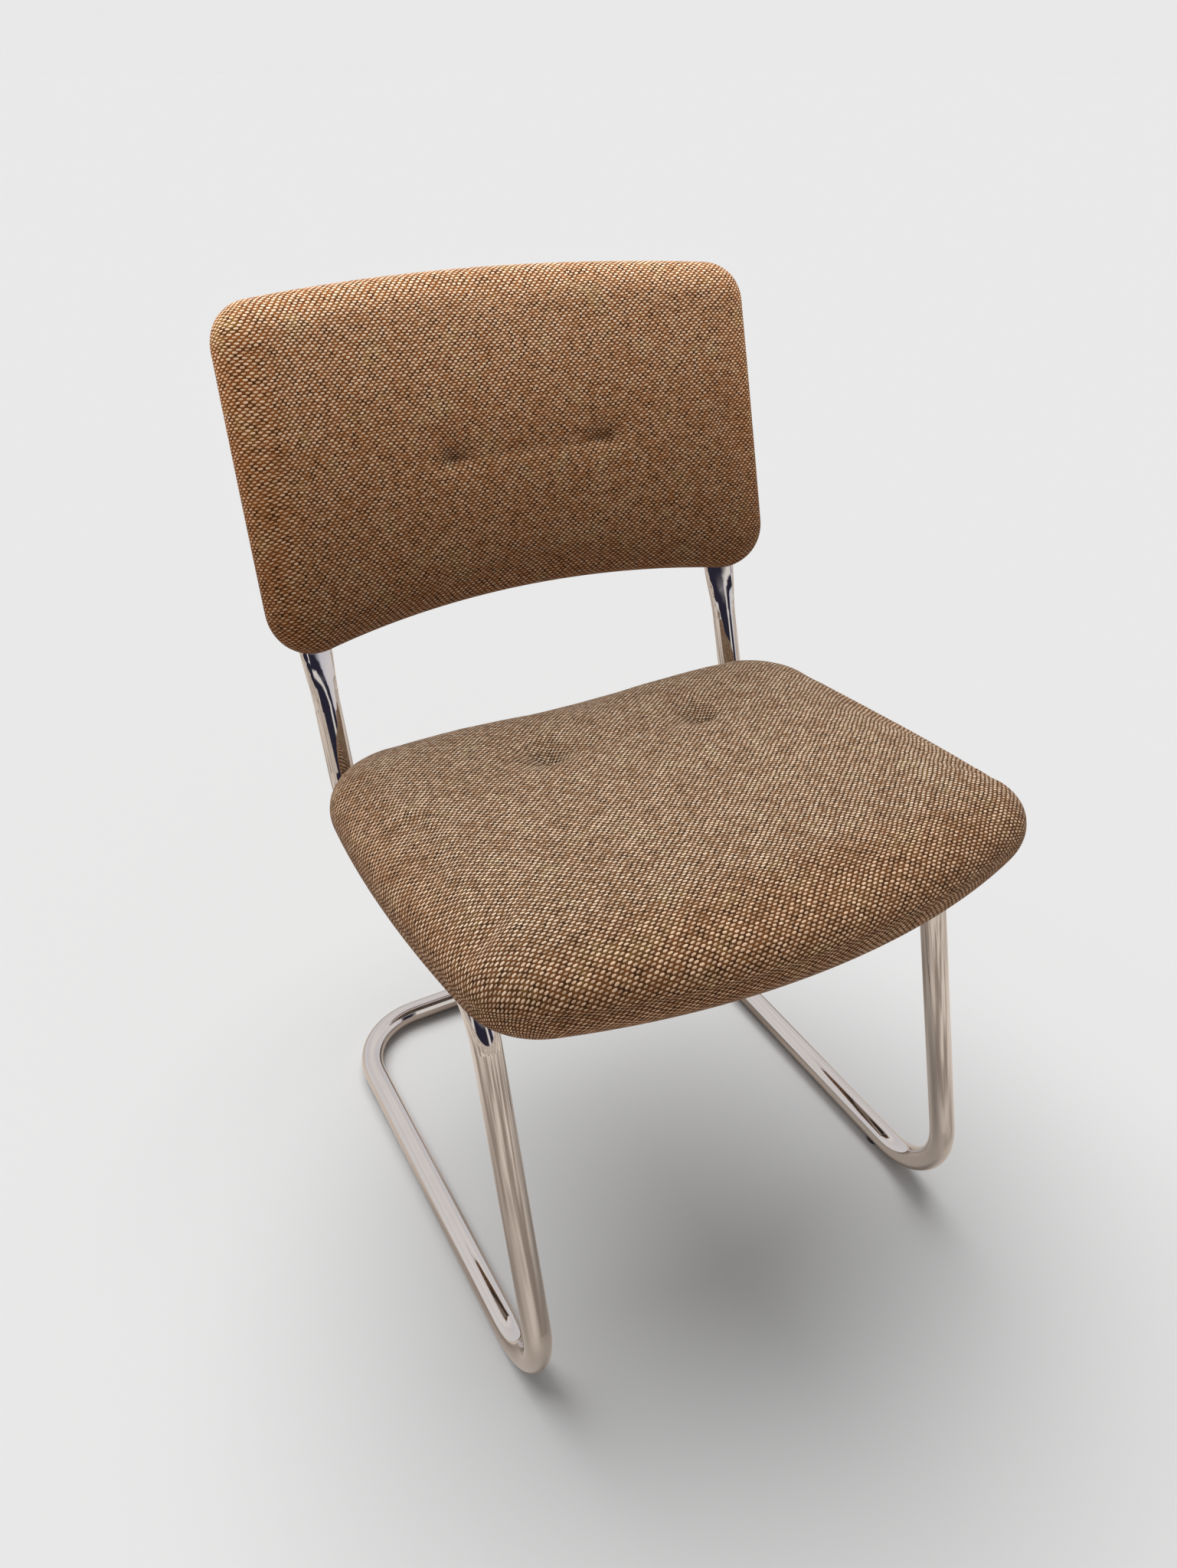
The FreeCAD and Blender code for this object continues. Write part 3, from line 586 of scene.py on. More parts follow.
BACK_TWEED = Tweed(
    "back_tweed",
    weft=(1.0, 0.76, 0.55),
    weft_dark=(0.58, 0.31, 0.145),
    warp=(0.34, 0.115, 0.026),
    warp_dark=(0.090, 0.030, 0.007),
    fleck=(0.33, 0.17, 0.04),
    # painted light: side and lower rolls warmer
    rim=(243.0, 139.0),
    rim_painted_warmth=(1.05, 0.93, 0.80),
    # painted light: the back's face lighter and paler towards its top
    painted_top_light=0.4,
    painted_top_pallor=0.3,
    # painted shade above the tufts and along the valley between them
    tuft_shades=(
        TuftShade(-60.0, 5.0, 30.0, 26.0, 0.16),
        TuftShade(86.0, 5.0, 30.0, 26.0, 0.16),
        TuftShade(-60.0, 4.0, 18.0, 17.0, 0.32),
        TuftShade(86.0, 4.0, 18.0, 17.0, 0.32),
        TuftShade(13.0, 4.0, 100.0, 15.0, 0.09),
    ),
)
# The same tweed as the back. Its greyer, less saturated colours are partly painted light, standing in for the
# whitish sheen that the seat's top catches from above.
SEAT_TWEED = Tweed(
    "seat_tweed",
    weft=(0.93, 0.74, 0.56),
    weft_dark=(0.325, 0.205, 0.12),
    warp=(0.185, 0.079, 0.027),
    warp_dark=(0.054, 0.024, 0.0095),
    fleck=(0.19, 0.114, 0.036),
    # painted light: side and front rolls warmer
    rim=(230.0, 176.0),
    rim_painted_warmth=(1.0, 0.89, 0.80),
    # painted shade on the rear walls of the tuft dimples
    tuft_shades=(
        TuftShade(-72.0, 46.0, 28.0, 44.0, 0.26),
        TuftShade(72.0, 46.0, 28.0, 44.0, 0.26),
        TuftShade(-72.0, 45.0, 18.0, 10.0, 0.38),
        TuftShade(72.0, 45.0, 18.0, 10.0, 0.38),
    ),
)
CHROME = Metal("chrome", (0.62, 0.575, 0.54), (0.50, 0.455, 0.42), 0.03, 0.08, 0.00002)
ZINC = Metal("zinc_plate", (0.56, 0.55, 0.52), (0.40, 0.38, 0.34), 0.28, 0.5, 0.00005)
NYLON = Plain("nylon", (0.025, 0.025, 0.027), (0.05, 0.05, 0.052), 900.0, 0.00005, 0.5)
FELT = Plain("dust_cloth", (0.012, 0.012, 0.013), (0.035, 0.034, 0.034), 700.0, 0.0002, 0.95)
TWINE = Plain("twine", (0.50, 0.42, 0.30), (0.30, 0.24, 0.16), 1500.0, 0.0002, 0.9, Grain.ACROSS)
FIBRE = Plain("fibre", (0.16, 0.10, 0.06), (0.10, 0.06, 0.035), 800.0, 0.0001, 0.8)
PLYWOOD = Plain("plywood", (0.62, 0.45, 0.27), (0.44, 0.29, 0.15), 60.0, 0.0002, 0.75, Grain.LAYERED)


def dress(finish: Finish, *nodes: str) -> None:
    """Gives CAD nodes a finish.

    Args:
        finish: The finish.
        nodes: Names of the CAD nodes.
    """
    material = bpy.data.materials.get(finish.name) or finish.material()
    for name in nodes:
        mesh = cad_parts[name].data
        mesh.materials.clear()
        mesh.materials.append(material)
        log.info("dressed %s in %s", name, finish.name)


# Pad forms

Circle = tuple[Points, float, int]
Arc = tuple[Points, float, float, float, int]


@dataclass(frozen=True)
class Outline:
    """Closed outline of four bowed edges and four rounded corners, anticlockwise from the first corner.

    Each edge starts at its corner, and a positive bow bulges outwards.
    """

    corners: tuple[tuple[float, float], ...]
    bows: tuple[float, float, float, float]
    radii: tuple[float, float, float, float]
    smallest_radius: float = 0.002

    def edges(self, inset: float) -> list[Circle]:
        """Circles that the four edges lie on.

        Args:
            inset: How far the edges are moved inwards.

        Returns:
            Centre, radius and side of each circle, where side is -1 for an edge that bows inwards.
        """
        found = []
        for i in range(4):
            start = np.array(self.corners[i])
            end = np.array(self.corners[(i + 1) % 4])
            chord = end - start
            length = np.linalg.norm(chord)
            outward = np.array([chord[1], -chord[0]]) / length
            side = 1 if self.bows[i] > 0 else -1
            radius = (length ** 2 / 4 + self.bows[i] ** 2) / (2 * abs(self.bows[i]))
            centre = (start + end) / 2 + outward * (self.bows[i] - side * radius)
            found.append((centre, radius - side * inset, side))
        return found

    def blends(self, edges: list[Circle], radii: Sequence[float]) -> list[Points]:
        """Centres of the rounded corners.

        Args:
            edges: The circles of the edges.
            radii: Radius of each corner.

        Returns:
            The four centres.
        """
        centres = []
        for i in range(4):
            centre_a, radius_a, side_a = edges[i - 1]
            centre_b, radius_b, side_b = edges[i]
            reach_a = radius_a - side_a * radii[i]
            reach_b = radius_b - side_b * radii[i]
            span = centre_b - centre_a
            distance = np.linalg.norm(span)
            along = (distance ** 2 + reach_a ** 2 - reach_b ** 2) / (2 * distance)
            across = math.sqrt(max(reach_a ** 2 - along ** 2, 0.0))
            direction = span / distance
            normal = np.array([-direction[1], direction[0]])
            base = centre_a + direction * along
            corner = np.array(self.corners[i])
            crossings = (base + normal * across, base - normal * across)
            centres.append(min(crossings, key=lambda point: float(np.linalg.norm(point - corner))))
        return centres

    def ring(
        self, count: int, inset: float = 0.0, radii: Optional[Sequence[float]] = None
    ) -> tuple[Points, Points]:
        """Evenly spaced points round the outline, from the middle of the first corner.

        Args:
            count: Points on each of the four sides.
            inset: How far the outline is moved inwards.
            radii: Radii of the corners, if not the outline's own less the inset.

        Returns:
            The points and the outward directions at them.
        """
        radii = radii or [max(radius - inset, self.smallest_radius) for radius in self.radii]
        edges = self.edges(inset)
        blends = self.blends(edges, radii)
        points, normals = [], []
        for i in range(4):
            j = (i + 1) % 4
            centre, radius, side = edges[i]
            arcs = [
                self.half_corner(blends[i], radii[i], edges[i - 1], edges[i], True),
                self.edge_arc(centre, radius, side, blends[i], blends[j]),
                self.half_corner(blends[j], radii[j], edges[i], edges[j], False),
            ]
            lengths = [arc[1] * abs(arc[3] - arc[2]) for arc in arcs]
            marks = np.concatenate([[0.0], np.cumsum(lengths)])
            for step in range(count):
                place = marks[-1] * step / count
                k = min(int(np.searchsorted(marks, place, "right")) - 1, 2)
                middle, reach, start, end, sign = arcs[k]
                share = (place - marks[k]) / lengths[k]
                turn = start + (end - start) * share
                ray = np.array([math.cos(turn), math.sin(turn)])
                points.append(middle + ray * reach)
                normals.append(ray * sign)
        return np.array(points), np.array(normals)

    @staticmethod
    def half_corner(blend: Points, radius: float, before: Circle, after: Circle, second: bool) -> Arc:
        """Half of a rounded corner as an arc.

        Args:
            blend: The corner's centre.
            radius: The corner's radius.
            before: Circle of the edge before the corner.
            after: Circle of the edge after the corner.
            second: True for the half that comes after the corner's middle.

        Returns:
            Centre, radius, first angle, last angle and the sign of the outward direction.
        """
        ends = []
        for centre, _, side in (before, after):
            ray = (blend - centre) * side
            ends.append(math.atan2(ray[1], ray[0]))
        turn = (ends[1] - ends[0]) % (2 * math.pi)
        middle = ends[0] + turn / 2
        first, last = (middle, ends[0] + turn) if second else (ends[0], middle)
        return blend, radius, first, last, 1

    @staticmethod
    def edge_arc(centre: Points, radius: float, side: int, start: Points, end: Points) -> Arc:
        """The bowed edge between two corners as an arc.

        Args:
            centre: Centre of the edge's circle.
            radius: Its radius.
            side: -1 for an edge that bows inwards.
            start: Centre of the corner before it.
            end: Centre of the corner after it.

        Returns:
            Centre, radius, first angle, last angle and the sign of the outward direction.
        """
        first = math.atan2(*(start - centre)[::-1])
        last = math.atan2(*(end - centre)[::-1])
        turn = (last - first + math.pi) % (2 * math.pi) - math.pi
        return centre, radius, first, first + turn, side


@dataclass
class Sheet:
    """A surface of rings that run outwards from a middle and then back on the other side."""

    points: list[Points] = field(default_factory=list)
    cloth: list[Points] = field(default_factory=list)
    faces: list[tuple[int, ...]] = field(default_factory=list)
    panels: list[int] = field(default_factory=list)

    def add(self, points: Points, cloth: Points) -> np.ndarray:
        """Adds vertices.

        Args:
            points: Their places.
            cloth: Their places on the flat cloth.

        Returns:
            The new vertices' numbers.
        """
        first = len(self.points)
        self.points.extend(points)
        self.cloth.extend(cloth)
        return np.arange(first, len(self.points))

    def join(self, inner: np.ndarray, outer: np.ndarray) -> None:
        """Adds the faces between two rings of as many vertices each, on the first cloth panel.

        Args:
            inner: Vertices of the first ring.
            outer: Vertices of the second ring.
        """
        count = len(inner)
        for i in range(count):
            j = (i + 1) % count
            self.faces.append((inner[i], outer[i], outer[j], inner[j]))
            self.panels.append(0)

    def disc(
        self,
        count: int,
        ring: Callable[[int], tuple[Points, Points]],
        panel: Callable[[int], int],
        upright: bool,
        rim: Optional[np.ndarray] = None,
    ) -> np.ndarray:
        """Adds a face of square rings, from a middle vertex to a rim.

        Args:
            count: Number of rings.
            ring: Gives the points of a ring, eight for each step outwards, and their places on the cloth.
            panel: Gives the cloth panel of the faces outside a ring.
            upright: True where the face looks along +Z.
            rim: Vertices of an existing ring to end on, or None.

        Returns:
            The vertices of the outermost ring.
        """
        rings = [self.add(*ring(0))]
        for step in range(1, count + 1):
            if step == count and rim is not None:
                rings.append(rim)
            else:
                rings.append(self.add(*ring(step)))

        def vertex(i: int, j: int) -> int:
            """Number of the vertex at a place on the square."""
            step = max(abs(i), abs(j))
            if step == 0:
                return rings[0][0]
            if j == -step and i < step:
                place = i + step
            elif i == step and j < step:
                place = 3 * step + j
            elif j == step and i > -step:
                place = 5 * step - i
            else:
                place = 7 * step - j
            return rings[step][place % (8 * step)]

        for i in range(-count, count):
            for j in range(-count, count):
                loop = (vertex(i, j), vertex(i + 1, j), vertex(i + 1, j + 1), vertex(i, j + 1))
                self.faces.append(loop if upright else tuple(reversed(loop)))
                inside = max(min(abs(i), abs(i + 1)), min(abs(j), abs(j + 1)))
                self.panels.append(panel(inside))
        return rings[count]

    def mesh(self, name: str) -> bpy.types.Mesh:
        """Makes the mesh with its cloth map.

        Args:
            name: The mesh's name.

        Returns:
            The mesh.
        """
        mesh = bpy.data.meshes.new(name)
        mesh.from_pydata([tuple(p) for p in self.points], [], [tuple(int(v) for v in f) for f in self.faces])
        layer = mesh.uv_layers.new(name=CLOTH_MAP)
        cloth = np.array(self.cloth)
        loops = np.empty(len(mesh.loops), np.int32)
        mesh.loops.foreach_get("vertex_index", loops)
        panels = np.repeat(np.array(self.panels), [len(face) for face in self.faces])
        layer.data.foreach_set("uv", cloth[loops, panels].ravel().astype(np.float32))
        mesh.polygons.foreach_set("use_smooth", np.ones(len(mesh.polygons), bool))
        mesh.update()
        return mesh


@dataclass(frozen=True)
class Tuft:
    """A place where the cover is pulled into the pad, steeper on one side than on the other."""

    x: float
    y: float
    depth: float
    side: float
    steep: float
    gentle: float
    pointed: float = 1.25

    def distance(self, points: Points) -> Points:
        """Distance of each point from the tuft, in widths of its dimple."""
        off = points[:, 1] - self.y
        along = off / np.where(off < 0, self.steep, self.gentle)
        return np.hypot((points[:, 0] - self.x) / self.side, along)

    def share(self, points: Points) -> Points:
        """Share of the tuft's depth at each point, pointed in the middle and soft outside."""
        return np.exp(-(self.distance(points) ** self.pointed))


def tuft_pair(left: float, right: float, *shape: float) -> tuple[Tuft, Tuft]:
    """Two tufts of one shape, side by side.

    Args:
        left: Place of the left one across the pad.
        right: Place of the right one.
        shape: The other measures of both.

    Returns:
        The two tufts.
    """
    return Tuft(left, *shape), Tuft(right, *shape)


@dataclass(frozen=True)
class Crease:
    """The shallow valley that two tufts draw between them, steeper on the same side as they are."""

    depth: float
    steep: float
    gentle: float
    reach: float

    def share(self, points: Points, tufts: Sequence[Tuft]) -> Points:
        """Share of the valley's depth at each point."""
        middle = (tufts[0].x + tufts[1].x) / 2
        half = (tufts[1].x - tufts[0].x) / 2
        across = (points[:, 0] - middle) / half
        off = points[:, 1] - tufts[0].y
        level = np.exp(-((off / np.where(off < 0, self.steep, self.gentle)) ** 2))
        return level * np.clip(1 - (across / self.reach) ** 4, 0, 1)


@dataclass(frozen=True)
class Stuffing:
    """Blows a cover up against the threads that hold it, by Blender's cloth simulation."""

    cap: float = 0.005
    pressure: float = 4.0
    frames: int = 20
    quality: int = 6
    mass: float = 0.25
    tension: float = 18.0
    compression: float = 12.0
    shear: float = 6.0
    bending: float = 0.6

    def fill(self, piece: bpy.types.Object, held: np.ndarray, free: np.ndarray) -> None:
        """Simulates the cover and leaves the result in the mesh.

        Args:
            piece: The cover.
            held: Vertices that stay where they are.
            free: Share of the simulated motion that each vertex keeps, from 0 to 1.
        """
        scene = bpy.context.scene
        group = piece.vertex_groups.new(name="held")
        group.add([int(v) for v in held], 1.0, "REPLACE")
        cloth = piece.modifiers.new("cloth", "CLOTH")
        settings = cloth.settings
        settings.quality = self.quality
        settings.mass = self.mass
        settings.tension_stiffness = self.tension
        settings.compression_stiffness = self.compression
        settings.shear_stiffness = self.shear
        settings.bending_stiffness = self.bending
        settings.use_pressure = True
        settings.uniform_pressure_force = self.pressure
        settings.vertex_group_mass = group.name
        settings.effector_weights.gravity = 0.0
        cloth.collision_settings.use_collision = False
        cloth.point_cache.frame_start = 1
        cloth.point_cache.frame_end = self.frames
        start = read_points(piece.data)
        for number in range(1, self.frames + 1):
            scene.frame_set(number)
        shape = piece.evaluated_get(bpy.context.evaluated_depsgraph_get())
        moved = read_points(shape.data) - start
        piece.modifiers.remove(cloth)
        piece.vertex_groups.remove(group)
        scene.frame_set(1)
        length = np.maximum(np.linalg.norm(moved, axis=1, keepdims=True), 1e-9)
        moved *= self.cap * np.tanh(length / self.cap) / length * free[:, None]
        write_points(piece.data, start + moved)


def read_points(mesh: bpy.types.Mesh) -> Points:
    """Places of a mesh's vertices."""
    flat = np.empty(len(mesh.vertices) * 3, np.float32)
    mesh.vertices.foreach_get("co", flat)
    return flat.reshape(-1, 3).astype(float)


def write_points(mesh: bpy.types.Mesh, points: Points) -> None:
    """Moves a mesh's vertices to new places."""
    mesh.vertices.foreach_set("co", points.astype(np.float32).ravel())
    mesh.update()


def subdivided(piece: bpy.types.Object, levels: int) -> None:
    """Subdivides a piece's mesh smoothly.

    Args:
        piece: The piece.
        levels: Number of subdivisions.
    """
    modifier = piece.modifiers.new("smooth", "SUBSURF")
    modifier.levels = levels
    shape = piece.evaluated_get(bpy.context.evaluated_depsgraph_get())
    finer = bpy.data.meshes.new_from_object(shape)
    piece.modifiers.remove(modifier)
    rough = piece.data
    piece.data = finer
    finer.name = rough.name
    bpy.data.meshes.remove(rough)


def close_holes(mesh: bpy.types.Mesh) -> None:
    """Closes what is open under a pad with one flat face."""
    work = bmesh.new()
    work.from_mesh(mesh)
    edges = [edge for edge in work.edges if edge.is_boundary]
    bmesh.ops.holes_fill(work, edges=edges, sides=0)
    work.to_mesh(mesh)
    work.free()


@dataclass(frozen=True)
class Profile:
    """Height of a pad's face over the inset from its outline, as a curve from the outline inwards."""

    reach: float
    height: float
    roundness: float
    samples: int = 400

    def curve(self) -> tuple[Points, Points, Points]:
        """Samples the curve.

        Returns:
            Arc length from the outline, inset and height of each sample.
        """
        turn = np.linspace(0.0, math.pi / 2, self.samples)
        inset = self.reach * (1 - np.cos(turn)) ** self.roundness
        height = self.height * np.sin(turn)
        steps = np.hypot(np.diff(inset), np.diff(height))
        return np.concatenate([[0.0], np.cumsum(steps)]), inset, height

    def at(self, length: float) -> tuple[float, float, float]:
        """Reads the curve at an arc length from the outline.

        Args:
            length: The arc length.

        Returns:
            Inset, height and how much longer the rest of the curve is than its inset.
        """
        arc, inset, height = self.curve()
        here = float(np.interp(length, arc, inset))
        rise = float(np.interp(length, arc, height))
        return here, rise, float(arc[-1] - length) - float(self.reach - here)

    def total(self) -> float:
        """Arc length of the whole curve."""
        return float(self.curve()[0][-1])


@dataclass(frozen=True)
class Folds:
    """Small folds that run out from a tuft, as two waves round it."""

    height: float = 0.0007
    counts: tuple[int, int] = (7, 4)
    shares: Span = (0.6, 0.4)
    turns: Span = (0.8, 2.0)
    reach: float = 1.1
    width: float = 0.5

    def rise(self, points: Points, tuft: Tuft, number: int) -> Points:
        """How much the folds round a tuft raise each point.

        Args:
            points: The cover's vertices.
            tuft: The tuft.
            number: The tuft's number, which turns the waves.

        Returns:
            The rise at each vertex.
        """
        angle = np.arctan2(points[:, 1] - tuft.y, points[:, 0] - tuft.x)
        waves = sum(
            np.cos(count * angle + turn * number) * share
            for count, share, turn in zip(self.counts, self.shares, self.turns)
        )
        return self.height * waves * np.exp(-(((tuft.distance(points) - self.reach) / self.width) ** 2))


@dataclass
class Pad:
    """What the seat and the back have in common."""

    name: str
    finish: Finish
    tufts: tuple[Tuft, Tuft]
    crease: Crease
    stuffing: Stuffing
    folds: Folds = Folds()
    blend: float = 3.0
    drawn_in: float = 0.22
    face_steepness: float = 3.0
    cap_rings: int = 24

    def outline(self) -> Outline:
        """The pad's outline at its widest level."""
        raise NotImplementedError

    def sheet(self) -> Sheet:
        """The cover before its tufts are pulled, on its flat frame."""
        raise NotImplementedError

    def held(self, points: Points) -> Points:
        """Which vertices the boards and staples hold."""
        raise NotImplementedError

    def free(self, points: Points) -> Points:
        """How freely each vertex swells, from 0 at the taut rim to 1 on the faces."""
        raise NotImplementedError

    def details(self, points: Points) -> Points:
        """Adds seams and small unevenness to the stuffed cover."""
        raise NotImplementedError

    def placed(self, points: Points) -> Points:
        """Moves points from the flat frame to the row frame."""
        raise NotImplementedError

    def ring(
        self, step: int, inset: float, radii: Optional[Sequence[float]] = None
    ) -> tuple[Points, Points]:
        """One ring of a face, which shrinks evenly towards the middle inside the outermost cap ring.

        Args:
            step: The ring's number, from the middle outwards.
            inset: How far the outline is moved inwards.
            radii: Radii of the corners, if not the outline's own less the inset.

        Returns:
            The ring's points and the outward directions at them.
        """
        ring, normals = self.outline().ring(2 * step, inset, radii)
        return ring * min(step / self.cap_rings, 1.0), normals

    def pulled(self, points: Points) -> Points:
        """Pulls the tufts in, with the valley between them and the small folds that run from them.

        Args:
            points: The cover's vertices.

        Returns:
            The vertices with a dimple at each tuft, drawn in towards it.
        """
        moved = points.copy()
        level = points[:, 2] / float(points[:, 2].max())
        face = np.clip(level * self.face_steepness - 1, 0.0, 1.0)
        hollow = (self.crease.depth * self.crease.share(points, self.tufts)) ** self.blend
        for number, tuft in enumerate(self.tufts):
            share = tuft.share(points) * face
            hollow += (tuft.depth * share) ** self.blend
            moved[:, 2] += self.folds.rise(points, tuft, number) * face
            moved[:, :2] -= (points[:, :2] - (tuft.x, tuft.y)) * (self.drawn_in * share)[:, None]
        moved[:, 2] -= hollow ** (1 / self.blend) * face
        return moved

    def build(self) -> bpy.types.Object:
        """Makes the pad.

        Returns:
            The finished cushion.
        """
        mesh = self.sheet().mesh(self.name)
        piece = bpy.data.objects.new(self.name, mesh)
        bpy.context.scene.collection.objects.link(piece)
        flat = read_points(mesh)
        free = self.free(flat)
        for tuft in self.tufts:
            free *= 1 - tuft.share(flat)
        self.stuffing.fill(piece, np.flatnonzero(self.held(flat)), free)
        subdivided(piece, 1)
        close_holes(piece.data)
        write_points(piece.data, self.placed(self.details(self.pulled(read_points(piece.data)))))
        piece.data.materials.append(self.finish.material())
        return piece


@dataclass
class SeatPad(Pad):
    """The seat: a crowned cushion that draws in towards its board, with two tufts near the rear."""

    name: str = "seat_cushion"
    finish: Finish = SEAT_TWEED
    tufts: tuple[Tuft, Tuft] = tuft_pair(-0.072, 0.072, 0.048, 0.0060, 0.017, 0.006, 0.026)
    crease: Crease = Crease(0.0010, 0.006, 0.016, 1.1)
    stuffing: Stuffing = Stuffing()
    centre: Place = (0.0, -0.056995, 0.4047)
    tilt: float = math.radians(4.34)
    half_width: float = 0.2302
    half_length: float = 0.1762
    outline_bows: tuple[float, float, float, float] = (0.0473, 0.0119, 0.0048, 0.0119)
    front_corner: float = 0.058
    rear_corner: float = 0.072
    crown_front_corner: float = 0.048
    crown_rear_corner: float = 0.044
    crown: Profile = Profile(reach=0.115, height=0.040, roundness=1.63)
    base: Profile = Profile(reach=0.036, height=0.0343, roundness=1.0)
    hem_width: float = 0.028
    hem_step: float = 0.0007
    unevenness: float = 0.0003
    broad_waves: Span = (0.043, 0.037)
    small_waves: Span = (0.019, 0.026)
    small_share: float = 0.6
    top_steepness: float = 2.0
    top_from: float = 0.6
    slack: float = 0.004
    free_from: float = 0.006
    free_over: float = 0.022
    held_below: float = 0.8
    crown_rings: int = 24
    base_rings: int = 12
    hem_rings: int = 5

    def outline(self) -> Outline:
        """The pad's outline at its widest level."""
        w, l = self.half_width, self.half_length
        front, rear = self.front_corner, self.rear_corner
        return Outline(((-w, -l), (w, -l), (w, l), (-w, l)), self.outline_bows, (front, front, rear, rear))

    def sheet(self) -> Sheet:
        """The cover before its tufts are pulled, on its flat frame."""
        sheet = Sheet()
        count = self.cap_rings + self.crown_rings
        length = self.crown.total()

        def radii(inset: float, share: float) -> list[float]:
            """Corner radii of a ring of the crown."""
            front = max(self.front_corner - inset, 0) * (1 - share) + self.crown_front_corner * share
            rear = max(self.rear_corner - inset, 0) * (1 - share) + self.crown_rear_corner * share
            return [front, front, rear, rear]

        def crown_ring(step: int) -> tuple[Points, Points]:
            """One ring of the top, from the middle of the crown to the widest level."""
            outwards = max(step - self.cap_rings, 0) / self.crown_rings
            inset, height, excess = self.crown.at(length * (1 - outwards))
            if step == 0:
                middle = np.array([[0.0, 0.0, height]])
                return middle, np.zeros((1, 1, 2))
            share = inset / self.crown.reach
            ring, normals = self.ring(step, inset, radii(inset, share))
            points = np.column_stack([ring, np.full(len(ring), height)])
            return points, (ring + normals * excess)[:, None, :]

        lowest = sheet.disc(count, crown_ring, lambda inside: 0, True)
        skirt = []
        for step in range(1, self.base_rings + 1):
            skirt.append(self.base.at(self.base.total() * step / self.base_rings))
        for step in range(1, self.hem_rings + 1):
            skirt.append((self.base.reach + self.hem_width * step / self.hem_rings, self.base.height, 0.0))
        rim_excess = self.crown.at(0.0)[2]
        base_excess = self.base.at(0.0)[2]
        for inset, height, rest in skirt:
            corners = [self.front_corner - inset / 2] * 2 + [self.rear_corner - inset / 2] * 2
            ring, normals = self.ring(count, inset, corners)
            along = rim_excess + (base_excess - rest) + 2 * inset
            points = np.column_stack([ring, np.full(len(ring), -height)])
            lower = sheet.add(points, (ring + normals * along)[:, None, :])
            sheet.join(lowest, lower)
            lowest = lower
        turned_in = np.array([sheet.points[i] for i in lowest]) + (0.0, 0.0, self.hem_step)
        sheet.join(lowest, sheet.add(turned_in, np.array([sheet.cloth[i] for i in lowest])))
        points = np.array(sheet.points)
        points[:, 2] -= self.slack * (points[:, 2] > 0)
        sheet.points = list(points)
        return sheet

    def held(self, points: Points) -> Points:
        """Which vertices the board and the staples hold."""
        return points[:, 2] < -self.held_below * self.base.height

    def free(self, points: Points) -> Points:
        """How freely each vertex swells, from 0 at the taut rim to 1 on the faces."""
        return np.clip((points[:, 2] - self.free_from) / self.free_over, 0.0, 1.0)

    def details(self, points: Points) -> Points:
        """Adds the slight unevenness of an old pad's top."""
        moved = points.copy()
        x, y = points[:, 0], points[:, 1]
        top = np.clip(points[:, 2] / self.crown.height * self.top_steepness - self.top_from, 0.0, 1.0)
        broad = np.sin(x / self.broad_waves[0] + 1.3) * np.sin(y / self.broad_waves[1] + 0.4)
        small = np.sin(x / self.small_waves[0] - y / self.small_waves[1])
        moved[:, 2] += self.unevenness * (broad + self.small_share * small) * top
        return moved

    def placed(self, points: Points) -> Points:
        """Moves points from the flat frame to the row frame."""
        turn = Matrix.Translation(self.centre) @ Matrix.Rotation(-self.tilt, 4, "X")
        matrix = np.array(turn)
        return points @ matrix[:3, :3].T + matrix[:3, 3]


